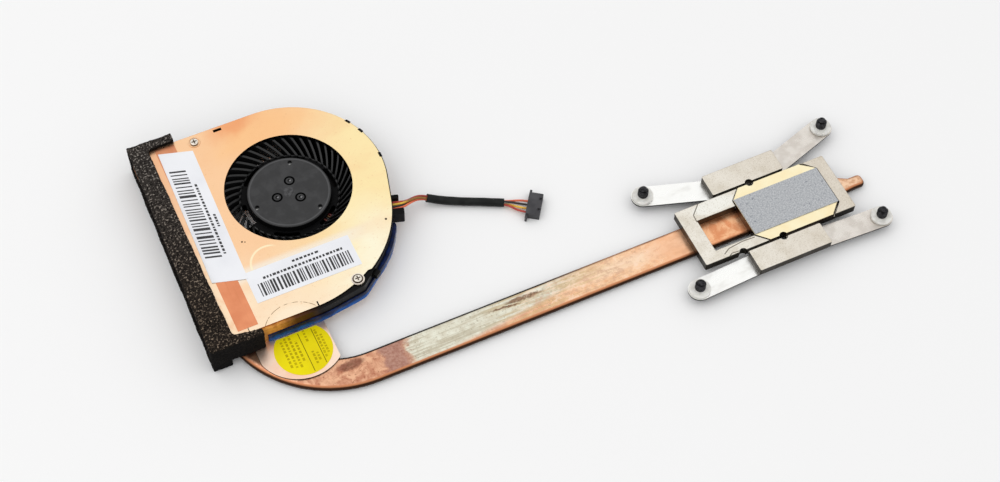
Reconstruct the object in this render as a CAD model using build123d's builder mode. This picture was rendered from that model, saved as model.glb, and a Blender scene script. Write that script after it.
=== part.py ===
# Laptop cooling fan heatsink: a blower, a fin stack, a flattened heat pipe and a sprung processor contact.
# Origin: centre of the thermal pad's outer face. +Z points out of that face, and +X runs along the
# straight stretch of the heat pipe, away from the blower. Millimetres.
import os
from math import acos, atan2, cos, degrees, hypot, pi, radians, sin, sqrt, tan

from build123d import *

os.makedirs("parts", exist_ok=True)

# Heat pipe: an eight millimetre pipe pressed flat
pipe_width = 10.6
pipe_thickness = 3.0
pipe_run_y = 1.65
pipe_bend_radius = 32.0
pipe_leg_end = 5.0
pipe_lap = 3.8
pipe_taper = 5.0
pipe_neck = 4.8
pipe_tip_width = 4.2
pipe_tip_shift = -2.2
pipe_tip_reach = 9.2
pipe_tip_round = 1.4

# Contact plate and pad
plate_length = 30.2
plate_thickness = 3.2
plate_flange = 1.7
plate_chamfer = 3.6
plate_clearance = 0.3
pad_width = 14.0
pad_inset = 0.1
pad_thickness = 0.3

# Mount frame with its two wings
frame_width = 21.2
frame_thickness = 3.0
frame_left_bar = 5.1
frame_right_bar = 4.2
window_length = 14.0
window_width = 12.2
window_shift = -1.0
boss_end_gap = 4.0
groove_width = 0.9
wing_length = 25.4
wing_width = 7.8
wing_center_x = -7.1
wing_edge_round = 0.4
pin_radius = 1.35
side_pin_gap = 1.5

# Leaf springs and captive screws
spring_thickness = 0.6
spring_width = 7.4
screw_spacing_x = 65.0
screw_spacing_y = 38.0
screw_center_x = -6.9
screw_center_y = 2.7
stud_radius = 1.6
neck_radius = 1.3
stud_length = 3.7
stud_chamfer = 0.3
dog_radius = 1.1
dog_length = 0.9
screw_head_radius = 2.6
screw_head_height = 1.5
drive_radius = 1.1
drive_depth = 0.9
retainer_radius = 3.4
retainer_height = 0.9
retainer_round = 0.25
screw_clearance = 0.2
screw_float = 0.1
push_clearance = 0.05

# Blower shell, measured from the impeller's axis
fan_x = -141.0
fan_y = 67.0
shell_radius = 31.2
volute_radius = 38.0
volute_shift_x = -9.0
volute_shift_y = -7.0
seam_from_axis = 30.0
seam_gap = 0.2
base_thickness = 0.5
wall_height = 6.5
wall_thickness = 1.2
cover_thickness = 0.5
cover_inset = 0.3
cover_front_inset = 1.0
cover_front_end = -56.0
slit_from_axis = -7.9
slit_width = 0.4
slit_depth = 1.6
inlet_radius = 20.0
bottom_inlet_inner = 12.6
bottom_inlet_outer = 19.5
bottom_inlet_width = 6.4
bottom_inlet_round = 1.5
bottom_inlet_start = 95.0
bottom_inlet_count = 3
lead_angle = -55.0

# Cover screws, snap lugs and the slot in the cover
rear_screw_x = -20.7
rear_screw_inset = 3.2
front_screw_angle = -65.2
front_screw_inset = 1.4
post_radius = 2.1
lobe_radius = 2.8
ear_radius = 2.1
collar_radius = 1.95
collar_wall = 0.3
collar_height = 0.15
cover_screw_radius = 0.8
cover_screw_length = 3.5
cover_screw_head_radius = 1.3
cover_screw_head_height = 0.6
cover_screw_clearance = 0.1
cross_length = 1.7
cross_width = 0.4
cross_depth = 0.3
snap_angles = (30.5, 20.4, -0.8)
snap_width = 1.6
snap_reach = 0.1
snap_depth = 1.2
snap_clearance = 0.15
slot_from_axis = -12.4
slot_length = 2.7
slot_width = 1.0
slot_inset = 1.6

# Tab of the base plate and the sticker on it
tab_radius = 14.1
tab_x = -16.5
tab_y = -48.0
tab_side_x = -7.4
tab_corner = 1.2
sticker_radius = 8.9
sticker_x = -16.7
sticker_y = -52.1
sticker_gap = 0.6
paper_thickness = 0.1

# Fin stack
fin_depth = 10.5
fin_pitch = 1.25
fin_thickness = 0.25
fin_flange = 0.3
fin_end_gap = 0.2

# Seam tape and white labels
tape_width = 6.4
tape_thickness = 0.1
tape_margin_low = 2.6
tape_margin_high = 1.2
long_label_width = 10.5
long_label_length = 51.6
long_label_x = -27.5
long_label_y = 2.4
long_label_skew = -3.1
long_label_lean = -1.5
short_label_length = 34.0
short_label_width = 11.5
short_label_x = -7.3
short_label_rise = 15.0

# Foam gasket round the outlet
foam_thickness = 2.0
foam_overhang = 1.8
foam_skew = 1.2
foam_strip_edge = 5.0
foam_end_thickness = 2.2
foam_end_reach = 3.6
foam_flap = 1.2
foam_flap_low = 1.2
foam_lower_height = 2.4
foam_pipe_gap = 0.4

# Blue film along the foot of the shell's wall
film_thickness = 0.35
film_height = 3.4
film_start = 5.0
film_end_angle = -27.0

# Wire exit with a bar on each side, and a small block on the wall
exit_angle = -17.0
exit_width = 4.0
exit_height = 1.4
exit_lift = 3.9
hook_height = 4.5
hook_lift = 0.6
hook_reach = 3.4
hook_bar = 2.3
hook_offset = 1.85
hook_root = 0.9
hook_round = 0.4
stub_reach = 2.2
stub_bar = 1.4
block_angle = -56.0
block_reach = 1.9
block_width = 2.2
block_height = 1.8

# Impeller
hub_radius = 13.3
hub_height = 3.0
hub_wall = 1.0
hub_top = 0.9
hub_round = 0.5
ring_width = 2.5
ring_thickness = 0.6
window_count = 6
ring_window_angle = 27.0
ring_window_start = 5.0
blade_count = 43
blade_radius = 27.0
blade_thickness = 0.55
blade_height = 4.6
blade_mid_sweep = 20.0
blade_sweep = 36.0
blade_root_height = 0.9
blade_shoulder_radius = 19.6
rotor_lift = 1.2
mark_radius = 4.2
mark_size = 1.65
mark_wall = 0.4
mark_eye = 0.55
mark_depth = 0.25
mark_start = 67.0
mark_count = 3
dot_radius = 0.6
dot_place = 11.3
dot_depth = 0.5

# Motor
shaft_radius = 1.0
shaft_clearance = 0.03
shaft_boss_radius = 2.4
shaft_boss_height = 0.4
shaft_seat_depth = 0.4
nest_clearance = 0.05
yoke_wall = 0.5
magnet_wall = 1.1
magnet_height = 1.9
air_gap = 0.4
bush_wall = 1.15
bush_height = 2.0
tube_wall = 0.7
tube_height = 2.6
thrust_thickness = 0.25
core_thickness = 1.3
core_gap = 0.65
core_ring = 1.6
pole_count = 6
pole_width = 1.6
shoe_thickness = 1.0
shoe_gap = 2.2
coil_overhang = 0.45
coil_side = 0.75
coil_end_gap = 0.3
board_thickness = 0.5
board_radius = 9.8

# Wires, sleeve and connector
wire_diameter = 0.7
wire_pitch = 0.82
pack_radius = 0.58
pack_twist = 36.0
bend_share = 0.45
sleeve_start = 0.4
sleeve_end = 0.86
pin_pitch = 1.4
sleeve_diameter = 2.8
sleeve_bore = 2.35
plug_length = 8.2
plug_depth = 4.5
plug_height = 2.7
plug_lift = 0.1
plug_x = -71.4
plug_y = 34.0
plug_heading = -35.2
plug_round = 0.25
plug_ear_reach = 1.35
plug_ear_thickness = 0.7
plug_ear_height = 2.0
cavity_count = 5
cavity_width = 1.0
cavity_height = 1.5
cavity_depth = 3.6
contact_width = 0.7
contact_height = 1.0
contact_clearance = 0.1
wire_entry = 0.9
wire_loose = 2.6
wire_straight = 3.4
lead_low_run = 5.2
lead_high_run = 2.0
key_width = 1.1
key_depth = 1.0
key_height = 0.6
key_spacing = 4.1

# Levels, from the resting plane up
rest_z = -(pad_thickness + plate_thickness + pipe_thickness)
pipe_top_z = rest_z + pipe_thickness
base_top_z = pipe_top_z + base_thickness
cover_bottom_z = base_top_z + wall_height
cover_top_z = cover_bottom_z + cover_thickness
frame_top_z = pipe_top_z + frame_thickness
plate_top_z = -pad_thickness
flange_bottom_z = plate_top_z - plate_flange
wing_bottom_z = pipe_top_z + spring_thickness
spring_top_z = wing_bottom_z


def polar_point(center, radius, angle):
    return (center[0] + radius * cos(radians(angle)), center[1] + radius * sin(radians(angle)))


# Places in the plan
fan_axis = (fan_x, fan_y)
volute_x = fan_x + volute_shift_x
volute_y = fan_y + volute_shift_y
volute_center = (volute_x, volute_y)
seam_x = fan_x - seam_from_axis
shell_high_y = fan_y + shell_radius
shell_low_y = volute_y - volute_radius
pipe_leg_x = seam_x + pipe_lap - pipe_width / 2
frame_left_x = -plate_length / 2 - window_length - frame_left_bar
frame_right_x = plate_length / 2 + frame_right_bar
frame_center_x = (frame_left_x + frame_right_x) / 2
frame_length = frame_right_x - frame_left_x
wing_center_y = frame_width / 2 + groove_width + wing_width / 2
groove_y = frame_width / 2 + groove_width / 2
boss_right_x = plate_length / 2 - boss_end_gap
screw_places = [
    (screw_center_x - screw_spacing_x / 2, screw_center_y + screw_spacing_y / 2),
    (screw_center_x + screw_spacing_x / 2, screw_center_y + screw_spacing_y / 2),
    (screw_center_x - screw_spacing_x / 2, screw_center_y - screw_spacing_y / 2),
    (screw_center_x + screw_spacing_x / 2, screw_center_y - screw_spacing_y / 2),
]
pin_places = [
    (wing_center_x, groove_y),
    (wing_center_x, -groove_y),
    (wing_center_x - wing_length / 2 - side_pin_gap, -groove_y),
]
front_screw_radius = volute_radius - front_screw_inset
cover_screw_places = [
    (fan_x + rear_screw_x, shell_high_y - rear_screw_inset),
    polar_point(volute_center, front_screw_radius, front_screw_angle),
]
lobe_angle = degrees(acos((volute_radius - lobe_radius) / front_screw_radius))
exit_out = Vector(cos(radians(exit_angle)), sin(radians(exit_angle)), 0)
exit_point = Vector(volute_x, volute_y, 0) + exit_out * volute_radius

# The line that is tangent to both shell arcs leaves them at this angle
shift_length = hypot(volute_shift_x, volute_shift_y)
shift_heading = degrees(atan2(-volute_shift_y, -volute_shift_x))
tangent_angle = shift_heading - degrees(acos((volute_radius - shell_radius) / shift_length))


def outline_reach(angle):
    # From the fan's axis out to the shell: its round top, or the volute where that lies further out
    toward = volute_shift_x * cos(radians(angle)) + volute_shift_y * sin(radians(angle))
    return max(shell_radius, toward + sqrt(volute_radius**2 - shift_length**2 + toward**2))


def shell_face(inset, lobe=True):
    # Blower outline, open edge on the seam, drawn in by the inset, with a lobe round the front screw
    with BuildSketch() as face:
        with BuildLine():
            high_y = shell_high_y - inset
            low_y = shell_low_y + inset
            top = Line((seam_x, high_y), (fan_x, high_y))
            round_top = CenterArc(fan_axis, shell_radius - inset, 90, tangent_angle - 90)
            volute = CenterArc(volute_center, volute_radius - inset, tangent_angle, -90 - tangent_angle)
            Line(round_top @ 1, volute @ 0)
            bottom = Line(volute @ 1, (seam_x, low_y))
            Line(bottom @ 1, top @ 0)
        make_face()
        if lobe:
            lobe_center = cover_screw_places[1]
            near_angle = front_screw_angle - lobe_angle
            far_angle = front_screw_angle + lobe_angle
            with Locations(lobe_center):
                Circle(lobe_radius - inset)
            with BuildLine():
                Polyline(
                    polar_point(volute_center, volute_radius - inset, near_angle),
                    polar_point(lobe_center, lobe_radius - inset, near_angle),
                    polar_point(lobe_center, lobe_radius - inset, far_angle),
                    polar_point(volute_center, volute_radius - inset, far_angle),
                    close=True,
                )
            make_face()
    return face.sketch


def save(node, name):
    node.part.label = name
    export_step(node.part, f"parts/{name}.step")


# Heat pipe: leg under the fins, one bend, the long run and a tip that is pinched down to a round nub
pipe_mid_z = rest_z + pipe_thickness / 2
pipe_end_y = shell_high_y - pipe_leg_end
taper_start_x = frame_right_x - pipe_taper
neck_end_x = frame_right_x + pipe_neck
tip_end_x = frame_right_x + pipe_tip_reach
tip_y = pipe_run_y + pipe_tip_shift
with BuildPart() as heat_pipe:
    with BuildLine() as pipe_path:
        FilletPolyline(
            (pipe_leg_x, pipe_end_y, pipe_mid_z),
            (pipe_leg_x, pipe_run_y, pipe_mid_z),
            (taper_start_x, pipe_run_y, pipe_mid_z),
            radius=pipe_bend_radius,
        )
    with BuildSketch(Plane(pipe_path.line @ 0, x_dir=(1, 0, 0), z_dir=(0, -1, 0))):
        SlotOverall(pipe_width, pipe_thickness)
    sweep(path=pipe_path.line)
    taper_plane = Plane((taper_start_x, pipe_run_y, pipe_mid_z), x_dir=(0, 1, 0), z_dir=(1, 0, 0))
    tip_plane = Plane((neck_end_x, tip_y, pipe_mid_z), x_dir=(0, 1, 0), z_dir=(1, 0, 0))
    with BuildSketch(taper_plane):
        SlotOverall(pipe_width, pipe_thickness)
    with BuildSketch(tip_plane):
        SlotOverall(pipe_tip_width, pipe_thickness)
    loft(ruled=True)
    with BuildSketch(tip_plane):
        SlotOverall(pipe_tip_width, pipe_thickness)
    extrude(amount=tip_end_x - neck_end_x)
    fillet(heat_pipe.faces().sort_by(Axis.X)[-1].edges(), radius=pipe_tip_round)
save(heat_pipe, "heat_pipe")

# Fin stack: thin plates with folded edges, soldered on the pipe's leg
fin_front_x = seam_x - seam_gap
fin_length = shell_high_y - shell_low_y - 2 * fin_end_gap
fin_height = cover_top_z - pipe_top_z
fin_count = int((fin_length - fin_thickness) / fin_pitch)
fin_center = (fin_front_x - fin_depth / 2, (shell_high_y + shell_low_y) / 2, (cover_top_z + pipe_top_z) / 2)
with BuildPart() as fin_stack:
    with Locations(fin_center):
        Box(fin_depth, fin_length, fin_height)
        with GridLocations(0, fin_pitch, 1, fin_count):
            Box(fin_depth, fin_pitch - fin_thickness, fin_height - 2 * fin_flange, mode=Mode.SUBTRACT)
save(fin_stack, "fin_stack")

# Base plate of the blower with its tab over the pipe's bend
tab_center = (fan_x + tab_x, fan_y + tab_y)
tab_edge_x = fan_x + tab_side_x
with BuildSketch() as tab_face:
    with Locations(tab_center):
        Circle(tab_radius)
    with Locations((tab_edge_x, tab_center[1])):
        Rectangle(2 * tab_radius, 2 * tab_radius, align=(Align.MIN, Align.CENTER), mode=Mode.SUBTRACT)
    fillet(tab_face.vertices().group_by(Axis.X)[-1].sort_by(Axis.Y)[0], radius=tab_corner)
    with Locations((seam_x, tab_center[1])):
        Rectangle(2 * tab_radius, 2 * tab_radius, align=(Align.MAX, Align.CENTER), mode=Mode.SUBTRACT)
bottom_inlet_length = bottom_inlet_outer - bottom_inlet_inner
bottom_inlet_place = bottom_inlet_inner + bottom_inlet_length / 2
bottom_inlet_sweep = 90 * bottom_inlet_count
with BuildSketch() as bottom_inlets:
    # a slot to each quarter, with the last quarter left whole for the leads
    with Locations(fan_axis):
        with PolarLocations(bottom_inlet_place, bottom_inlet_count, bottom_inlet_start, bottom_inlet_sweep):
            RectangleRounded(bottom_inlet_length, bottom_inlet_width, bottom_inlet_round)
with BuildPart() as base_plate:
    with BuildSketch(Plane.XY.offset(pipe_top_z)):
        add(tab_face.sketch)
        add(shell_face(0))
        add(bottom_inlets.sketch, mode=Mode.SUBTRACT)
    extrude(amount=base_thickness)
save(base_plate, "base_plate")

# Housing: the blower's wall with screw posts, the wire exit and its two bars, a block and snap lugs
exit_plane = Plane(exit_point + Vector(0, 0, base_top_z), x_dir=exit_out, z_dir=(0, 0, 1))
with BuildPart() as fan_housing:
    with BuildSketch(Plane.XY.offset(base_top_z)):
        add(shell_face(0))
        add(shell_face(wall_thickness, lobe=False), mode=Mode.SUBTRACT)
        with Locations(*cover_screw_places):
            Circle(post_radius)
        add(shell_face(0), mode=Mode.INTERSECT)
    extrude(amount=wall_height)
    with Locations(*[(x, y, cover_bottom_z) for x, y in cover_screw_places]):
        Hole(cover_screw_radius + push_clearance, depth=cover_screw_length)
    with BuildSketch(exit_plane.offset(exit_lift - exit_height / 2)):
        Rectangle(4 * wall_thickness, exit_width)
    extrude(amount=exit_height, mode=Mode.SUBTRACT)
    with BuildSketch(exit_plane.offset(hook_lift)):
        with Locations((-hook_root, -hook_offset)):
            RectangleRounded(hook_reach + hook_root, hook_bar, hook_round, align=(Align.MIN, Align.MAX))
        with Locations((-hook_root, hook_offset)):
            RectangleRounded(stub_reach + hook_root, stub_bar, hook_round, align=(Align.MIN, Align.MIN))
    extrude(amount=hook_height)
    block_out = Vector(cos(radians(block_angle)), sin(radians(block_angle)), 0)
    block_at = Vector(volute_x, volute_y, base_top_z + film_height) + block_out * volute_radius
    with BuildSketch(Plane(block_at, x_dir=block_out, z_dir=(0, 0, 1))):
        with Locations((-wall_thickness / 2, 0)):
            Rectangle(block_reach + wall_thickness / 2, block_width, align=(Align.MIN, Align.CENTER))
    extrude(amount=block_height)
    for angle in snap_angles:
        snap_out = Vector(cos(radians(angle)), sin(radians(angle)), 0)
        snap_at = Vector(fan_x, fan_y, cover_bottom_z - snap_depth) + snap_out * outline_reach(angle)
        with BuildSketch(Plane(snap_at, x_dir=snap_out, z_dir=(0, 0, 1))):
            with Locations((-wall_thickness / 2, 0)):
                Rectangle(snap_reach + wall_thickness / 2, snap_width, align=(Align.MIN, Align.CENTER))
        extrude(amount=snap_depth + cover_thickness)
save(fan_housing, "fan_housing")

# Cover: a stamped sheet with the inlet, screw ears, snap notches and a slot, set back along the front
cover_front = polar_point(volute_center, volute_radius, cover_front_end)
with BuildSketch() as front_strip:
    add(shell_face(cover_inset, lobe=False))
    add(shell_face(cover_front_inset, lobe=False), mode=Mode.SUBTRACT)
    with Locations(cover_front):
        Rectangle(3 * volute_radius, 3 * volute_radius, align=(Align.MAX, Align.MAX), mode=Mode.INTERSECT)
with BuildPart() as fan_cover:
    with BuildSketch(Plane.XY.offset(cover_bottom_z)):
        add(shell_face(cover_inset, lobe=False))
        add(front_strip.sketch, mode=Mode.SUBTRACT)
        with Locations((fan_x + slit_from_axis, shell_low_y + cover_front_inset)):
            Rectangle(slit_width, 2 * slit_depth, mode=Mode.SUBTRACT)
        with Locations(*cover_screw_places):
            Circle(ear_radius)
        with Locations(fan_axis):
            Circle(inlet_radius, mode=Mode.SUBTRACT)
        with Locations(*cover_screw_places):
            Circle(cover_screw_radius + cover_screw_clearance, mode=Mode.SUBTRACT)
        with Locations((fan_x + slot_from_axis, shell_high_y - slot_inset)):
            Rectangle(slot_length, slot_width, mode=Mode.SUBTRACT)
        with Locations(fan_axis):
            for angle in snap_angles:
                with PolarLocations(outline_reach(angle), 1, start_angle=angle):
                    Rectangle(
                        wall_thickness + 2 * snap_clearance,
                        snap_width + 2 * snap_clearance,
                        mode=Mode.SUBTRACT,
                    )
    extrude(amount=cover_thickness)
    with BuildSketch(Plane.XY.offset(cover_top_z)):
        with Locations(*cover_screw_places):
            Circle(collar_radius)
            Circle(collar_radius - collar_wall, mode=Mode.SUBTRACT)
    extrude(amount=collar_height)
save(fan_cover, "fan_cover")

# Two small pan head screws hold the cover
with BuildPart() as cover_screws:
    with BuildSketch(Plane.XY.offset(cover_top_z)):
        with Locations(*cover_screw_places):
            Circle(cover_screw_head_radius)
    extrude(amount=cover_screw_head_height)
    fillet(cover_screws.faces().sort_by(Axis.Z)[-2:].edges(), radius=cover_screw_head_height / 2)
    with BuildSketch(Plane.XY.offset(cover_top_z + cover_screw_head_height)):
        with Locations(*cover_screw_places):
            Rectangle(cross_length, cross_width)
            Rectangle(cross_width, cross_length)
    extrude(amount=-cross_depth, mode=Mode.SUBTRACT)
    with BuildSketch(Plane.XY.offset(cover_top_z)):
        with Locations(*cover_screw_places):
            Circle(cover_screw_radius)
    extrude(amount=-(cover_thickness + cover_screw_length - push_clearance))
save(cover_screws, "cover_screws")

# Tape over the seam between the cover and the fins
with BuildPart() as seam_tape:
    with BuildSketch(Plane.XY.offset(cover_top_z)):
        with Locations((seam_x, shell_low_y + tape_margin_low)):
            tape_length = shell_high_y - shell_low_y - tape_margin_low - tape_margin_high
            Rectangle(tape_width, tape_length, align=(Align.CENTER, Align.MIN))
    extrude(amount=tape_thickness)
save(seam_tape, "seam_tape")

# White labels: the long one lies over the tape, the short one beside it
label_plane = Plane((fan_x + long_label_x, fan_y + long_label_y, cover_top_z + tape_thickness))
with BuildPart() as long_label:
    with BuildSketch(label_plane):
        with BuildLine():
            across = long_label_width / 2
            along = long_label_length / 2
            Polyline(
                (-across, along),
                (across, along + long_label_skew),
                (across + long_label_lean, -along + long_label_skew),
                (-across + long_label_lean, -along),
                close=True,
            )
        make_face()
    extrude(amount=paper_thickness)
save(long_label, "long_label")
with BuildPart() as short_label:
    with BuildSketch(Plane.XY.offset(cover_top_z)):
        with Locations((fan_x + short_label_x, shell_low_y + short_label_rise)):
            Rectangle(short_label_length, short_label_width)
    extrude(amount=paper_thickness)
save(short_label, "short_label")

# Round sticker on the tab, cut straight where it meets the wall
with BuildPart() as round_sticker:
    with BuildSketch(Plane.XY.offset(base_top_z)):
        with Locations((fan_x + sticker_x, fan_y + sticker_y)):
            Circle(sticker_radius)
        with Locations((fan_x + sticker_x, shell_low_y - film_thickness - sticker_gap)):
            Rectangle(
                3 * sticker_radius,
                3 * sticker_radius,
                align=(Align.CENTER, Align.MIN),
                mode=Mode.SUBTRACT,
            )
    extrude(amount=paper_thickness)
save(round_sticker, "round_sticker")

# Foam gasket: a loop of strips round the outlet
foam_left_x = fin_front_x - fin_depth - foam_overhang
foam_inner_x = fin_front_x - foam_strip_edge
foam_right_x = seam_x + foam_end_reach
foam_high_y = shell_high_y + foam_end_thickness
foam_low_y = shell_low_y - foam_end_thickness
foam_foot_x = pipe_leg_x - pipe_width / 2 - foam_pipe_gap
with BuildPart() as foam_gasket:
    with BuildSketch(Plane.XY.offset(cover_top_z)):
        with BuildLine():
            Polyline(
                (foam_left_x + foam_skew, foam_high_y),
                (foam_right_x, foam_high_y),
                (foam_right_x, shell_high_y - tape_margin_high + foam_flap / 4),
                (foam_inner_x, shell_high_y - foam_flap),
                (foam_inner_x, shell_low_y + foam_flap_low),
                (foam_right_x, shell_low_y),
                (foam_right_x, foam_low_y),
                (foam_left_x - foam_skew, foam_low_y),
                close=True,
            )
        make_face()
    extrude(amount=foam_thickness)
    with BuildSketch(Plane.XY.offset(base_top_z)):
        foam_reach = foam_right_x - foam_left_x
        with Locations((foam_left_x + foam_skew, shell_high_y)):
            Rectangle(foam_reach - foam_skew, foam_end_thickness, align=(Align.MIN, Align.MIN))
        with Locations((foam_left_x - foam_skew, shell_low_y)):
            Rectangle(foam_reach + foam_skew, foam_end_thickness, align=(Align.MIN, Align.MAX))
    extrude(amount=cover_top_z - base_top_z)
    with BuildSketch(Plane.XY.offset(pipe_top_z)):
        with BuildLine():
            Polyline(
                (foam_left_x + foam_skew, foam_high_y),
                (foam_foot_x, foam_high_y),
                (foam_foot_x, foam_low_y),
                (foam_left_x - foam_skew, foam_low_y),
                close=True,
            )
        make_face()
    extrude(amount=-foam_lower_height)
save(foam_gasket, "foam_gasket")

# Blue film on the outside of the wall, from the foam round to the wire exit
film_high_y = volute_y + volute_radius * sin(radians(film_end_angle))
with BuildPart() as blue_film:
    with BuildSketch(Plane.XY.offset(base_top_z)):
        add(shell_face(-film_thickness))
        add(shell_face(0), mode=Mode.SUBTRACT)
        with Locations((seam_x + film_start, film_high_y)):
            Rectangle(3 * volute_radius, 3 * volute_radius, align=(Align.MIN, Align.MAX), mode=Mode.INTERSECT)
    extrude(amount=film_height)
save(blue_film, "blue_film")

# Impeller: hub cup, a ring with windows and swept blades with cut-back roots
hub_bottom_z = base_top_z + rotor_lift
hub_top_z = hub_bottom_z + hub_height
hub_ceiling_z = hub_top_z - hub_top
ring_radius = hub_radius + ring_width
blade_root_radius = ring_radius - blade_thickness
spin_axis = Axis((fan_x, fan_y, 0), (0, 0, 1))
with BuildSketch() as blade_face:
    with BuildLine():
        blade_line = ThreePointArc(
            (blade_root_radius, 0),
            PolarLine((0, 0), (blade_root_radius + blade_radius) / 2, blade_mid_sweep, mode=Mode.PRIVATE) @ 1,
            PolarLine((0, 0), blade_radius, blade_sweep, mode=Mode.PRIVATE) @ 1,
        )
    trace(blade_line, line_width=blade_thickness)
with BuildPart() as impeller:
    with BuildSketch(Plane.XY.offset(hub_bottom_z)):
        with Locations(fan_axis):
            Circle(hub_radius)
    extrude(amount=hub_height)
    fillet(impeller.faces().sort_by(Axis.Z)[-1].edges(), radius=hub_round)
    with BuildSketch(Plane.XY.offset(hub_bottom_z)):
        with Locations(fan_axis):
            Circle(hub_radius - hub_wall)
    extrude(amount=hub_height - hub_top, mode=Mode.SUBTRACT)
    with BuildSketch(Plane.XY.offset(hub_ceiling_z)):
        with Locations(fan_axis):
            Circle(shaft_boss_radius)
    extrude(amount=-shaft_boss_height)
    with BuildSketch(Plane.XY.offset(hub_bottom_z)):
        with Locations(fan_axis):
            Circle(ring_radius)
            Circle(hub_radius - hub_wall / 2, mode=Mode.SUBTRACT)
            with PolarLocations(0, window_count, start_angle=ring_window_start):
                window_arc = CenterArc(
                    (0, 0),
                    hub_radius + ring_width / 2,
                    -ring_window_angle / 2,
                    ring_window_angle,
                    mode=Mode.PRIVATE,
                )
                SlotArc(window_arc, ring_width - 2 * blade_thickness, mode=Mode.SUBTRACT)
    extrude(amount=ring_thickness)
    with BuildSketch(Plane.XY.offset(hub_bottom_z)):
        with Locations(fan_axis):
            with PolarLocations(0, blade_count):
                add(blade_face.sketch)
    extrude(amount=blade_height)
    with BuildSketch(Plane.XZ.offset(-fan_y)):
        with BuildLine():
            blade_top_z = hub_bottom_z + blade_height
            Polyline(
                (fan_x + hub_radius + ring_width / 4, hub_bottom_z + blade_root_height),
                (fan_x + blade_root_radius, hub_bottom_z + blade_root_height),
                (fan_x + blade_shoulder_radius, blade_top_z),
                (fan_x + blade_shoulder_radius, blade_top_z + blade_height),
                (fan_x + hub_radius + ring_width / 4, blade_top_z + blade_height),
                close=True,
            )
        make_face()
    revolve(axis=spin_axis, mode=Mode.SUBTRACT)
    with BuildSketch(Plane.XY.offset(hub_top_z)):
        with Locations(fan_axis):
            with PolarLocations(mark_radius, mark_count, start_angle=mark_start):
                Circle(mark_size)
                Circle(mark_size - mark_wall, mode=Mode.SUBTRACT)
                Circle(mark_eye)
    extrude(amount=-mark_depth, mode=Mode.SUBTRACT)
    with BuildSketch(Plane.XY.offset(hub_top_z)):
        with Locations(fan_axis):
            with PolarLocations(dot_place, mark_count, start_angle=mark_start):
                Circle(dot_radius)
    extrude(amount=-dot_depth, mode=Mode.SUBTRACT)
    with BuildSketch(Plane.XY.offset(hub_ceiling_z - shaft_boss_height)):
        with Locations(fan_axis):
            Circle(shaft_radius + push_clearance)
    extrude(amount=shaft_boss_height + shaft_seat_depth, mode=Mode.SUBTRACT)
save(impeller, "impeller")


def ring_part(node_name, outer, inner, low_z, high_z):
    # A plain ring round the impeller's axis
    with BuildPart() as ring:
        with BuildSketch(Plane.XY.offset(low_z)):
            with Locations(fan_axis):
                Circle(outer)
                if inner > 0:
                    Circle(inner, mode=Mode.SUBTRACT)
        extrude(amount=high_z - low_z)
    save(ring, node_name)


# Rotor: steel yoke and magnet inside the hub, and the shaft
yoke_radius = hub_radius - hub_wall - nest_clearance
magnet_radius = yoke_radius - yoke_wall - nest_clearance
magnet_bore = magnet_radius - magnet_wall
thrust_top_z = base_top_z + thrust_thickness
ring_part("rotor_yoke", yoke_radius, yoke_radius - yoke_wall, hub_bottom_z, hub_ceiling_z)
ring_part("rotor_magnet", magnet_radius, magnet_bore, hub_ceiling_z - magnet_height, hub_ceiling_z)
ring_part("rotor_shaft", shaft_radius, 0, thrust_top_z + push_clearance, hub_ceiling_z + shaft_seat_depth)

# Bearing: tube on the base plate, oil bush and the disc under the shaft
bush_bore = shaft_radius + shaft_clearance
bush_radius = bush_bore + bush_wall
tube_bore = bush_radius + nest_clearance
tube_radius = tube_bore + tube_wall
bush_top_z = base_top_z + tube_height - nest_clearance
ring_part("bearing_tube", tube_radius, tube_bore, base_top_z, base_top_z + tube_height)
ring_part("bearing_bush", bush_radius, bush_bore, bush_top_z - bush_height, bush_top_z)
ring_part("thrust_disc", bush_radius, 0, base_top_z, thrust_top_z)

# Motor board and stator
board_top_z = base_top_z + board_thickness
core_bottom_z = board_top_z + core_gap
core_radius = magnet_bore - air_gap
core_bore = tube_radius + nest_clearance
core_hub_radius = core_bore + core_ring
shoe_bore = core_radius - shoe_thickness
ring_part("motor_board", board_radius, core_bore, base_top_z, board_top_z)
with BuildPart() as stator_core:
    with BuildSketch(Plane.XY.offset(core_bottom_z)):
        with Locations(fan_axis):
            Circle(core_radius)
            Circle(shoe_bore, mode=Mode.SUBTRACT)
            with PolarLocations(core_radius, pole_count, start_angle=180 / pole_count):
                Rectangle(3 * shoe_thickness, shoe_gap, mode=Mode.SUBTRACT)
            Circle(core_hub_radius)
            with PolarLocations((core_hub_radius + shoe_bore) / 2, pole_count):
                Rectangle(shoe_bore - core_hub_radius + shoe_thickness, pole_width)
            Circle(core_bore, mode=Mode.SUBTRACT)
    extrude(amount=core_thickness)
save(stator_core, "stator_core")
coil_length = shoe_bore - core_hub_radius - 2 * coil_end_gap
with BuildPart() as stator_coils:
    with BuildSketch(Plane.XY.offset(core_bottom_z - coil_overhang)):
        with Locations(fan_axis):
            with PolarLocations((core_hub_radius + shoe_bore) / 2, pole_count):
                Rectangle(coil_length, pole_width + 2 * coil_side)
    extrude(amount=core_thickness + 2 * coil_overhang)
    with BuildSketch(Plane.XY.offset(core_bottom_z - nest_clearance)):
        with Locations(fan_axis):
            with PolarLocations((core_hub_radius + shoe_bore) / 2, pole_count):
                Rectangle(2 * coil_length, pole_width + 2 * nest_clearance)
    extrude(amount=core_thickness + 2 * nest_clearance, mode=Mode.SUBTRACT)
save(stator_coils, "stator_coils")

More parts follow.
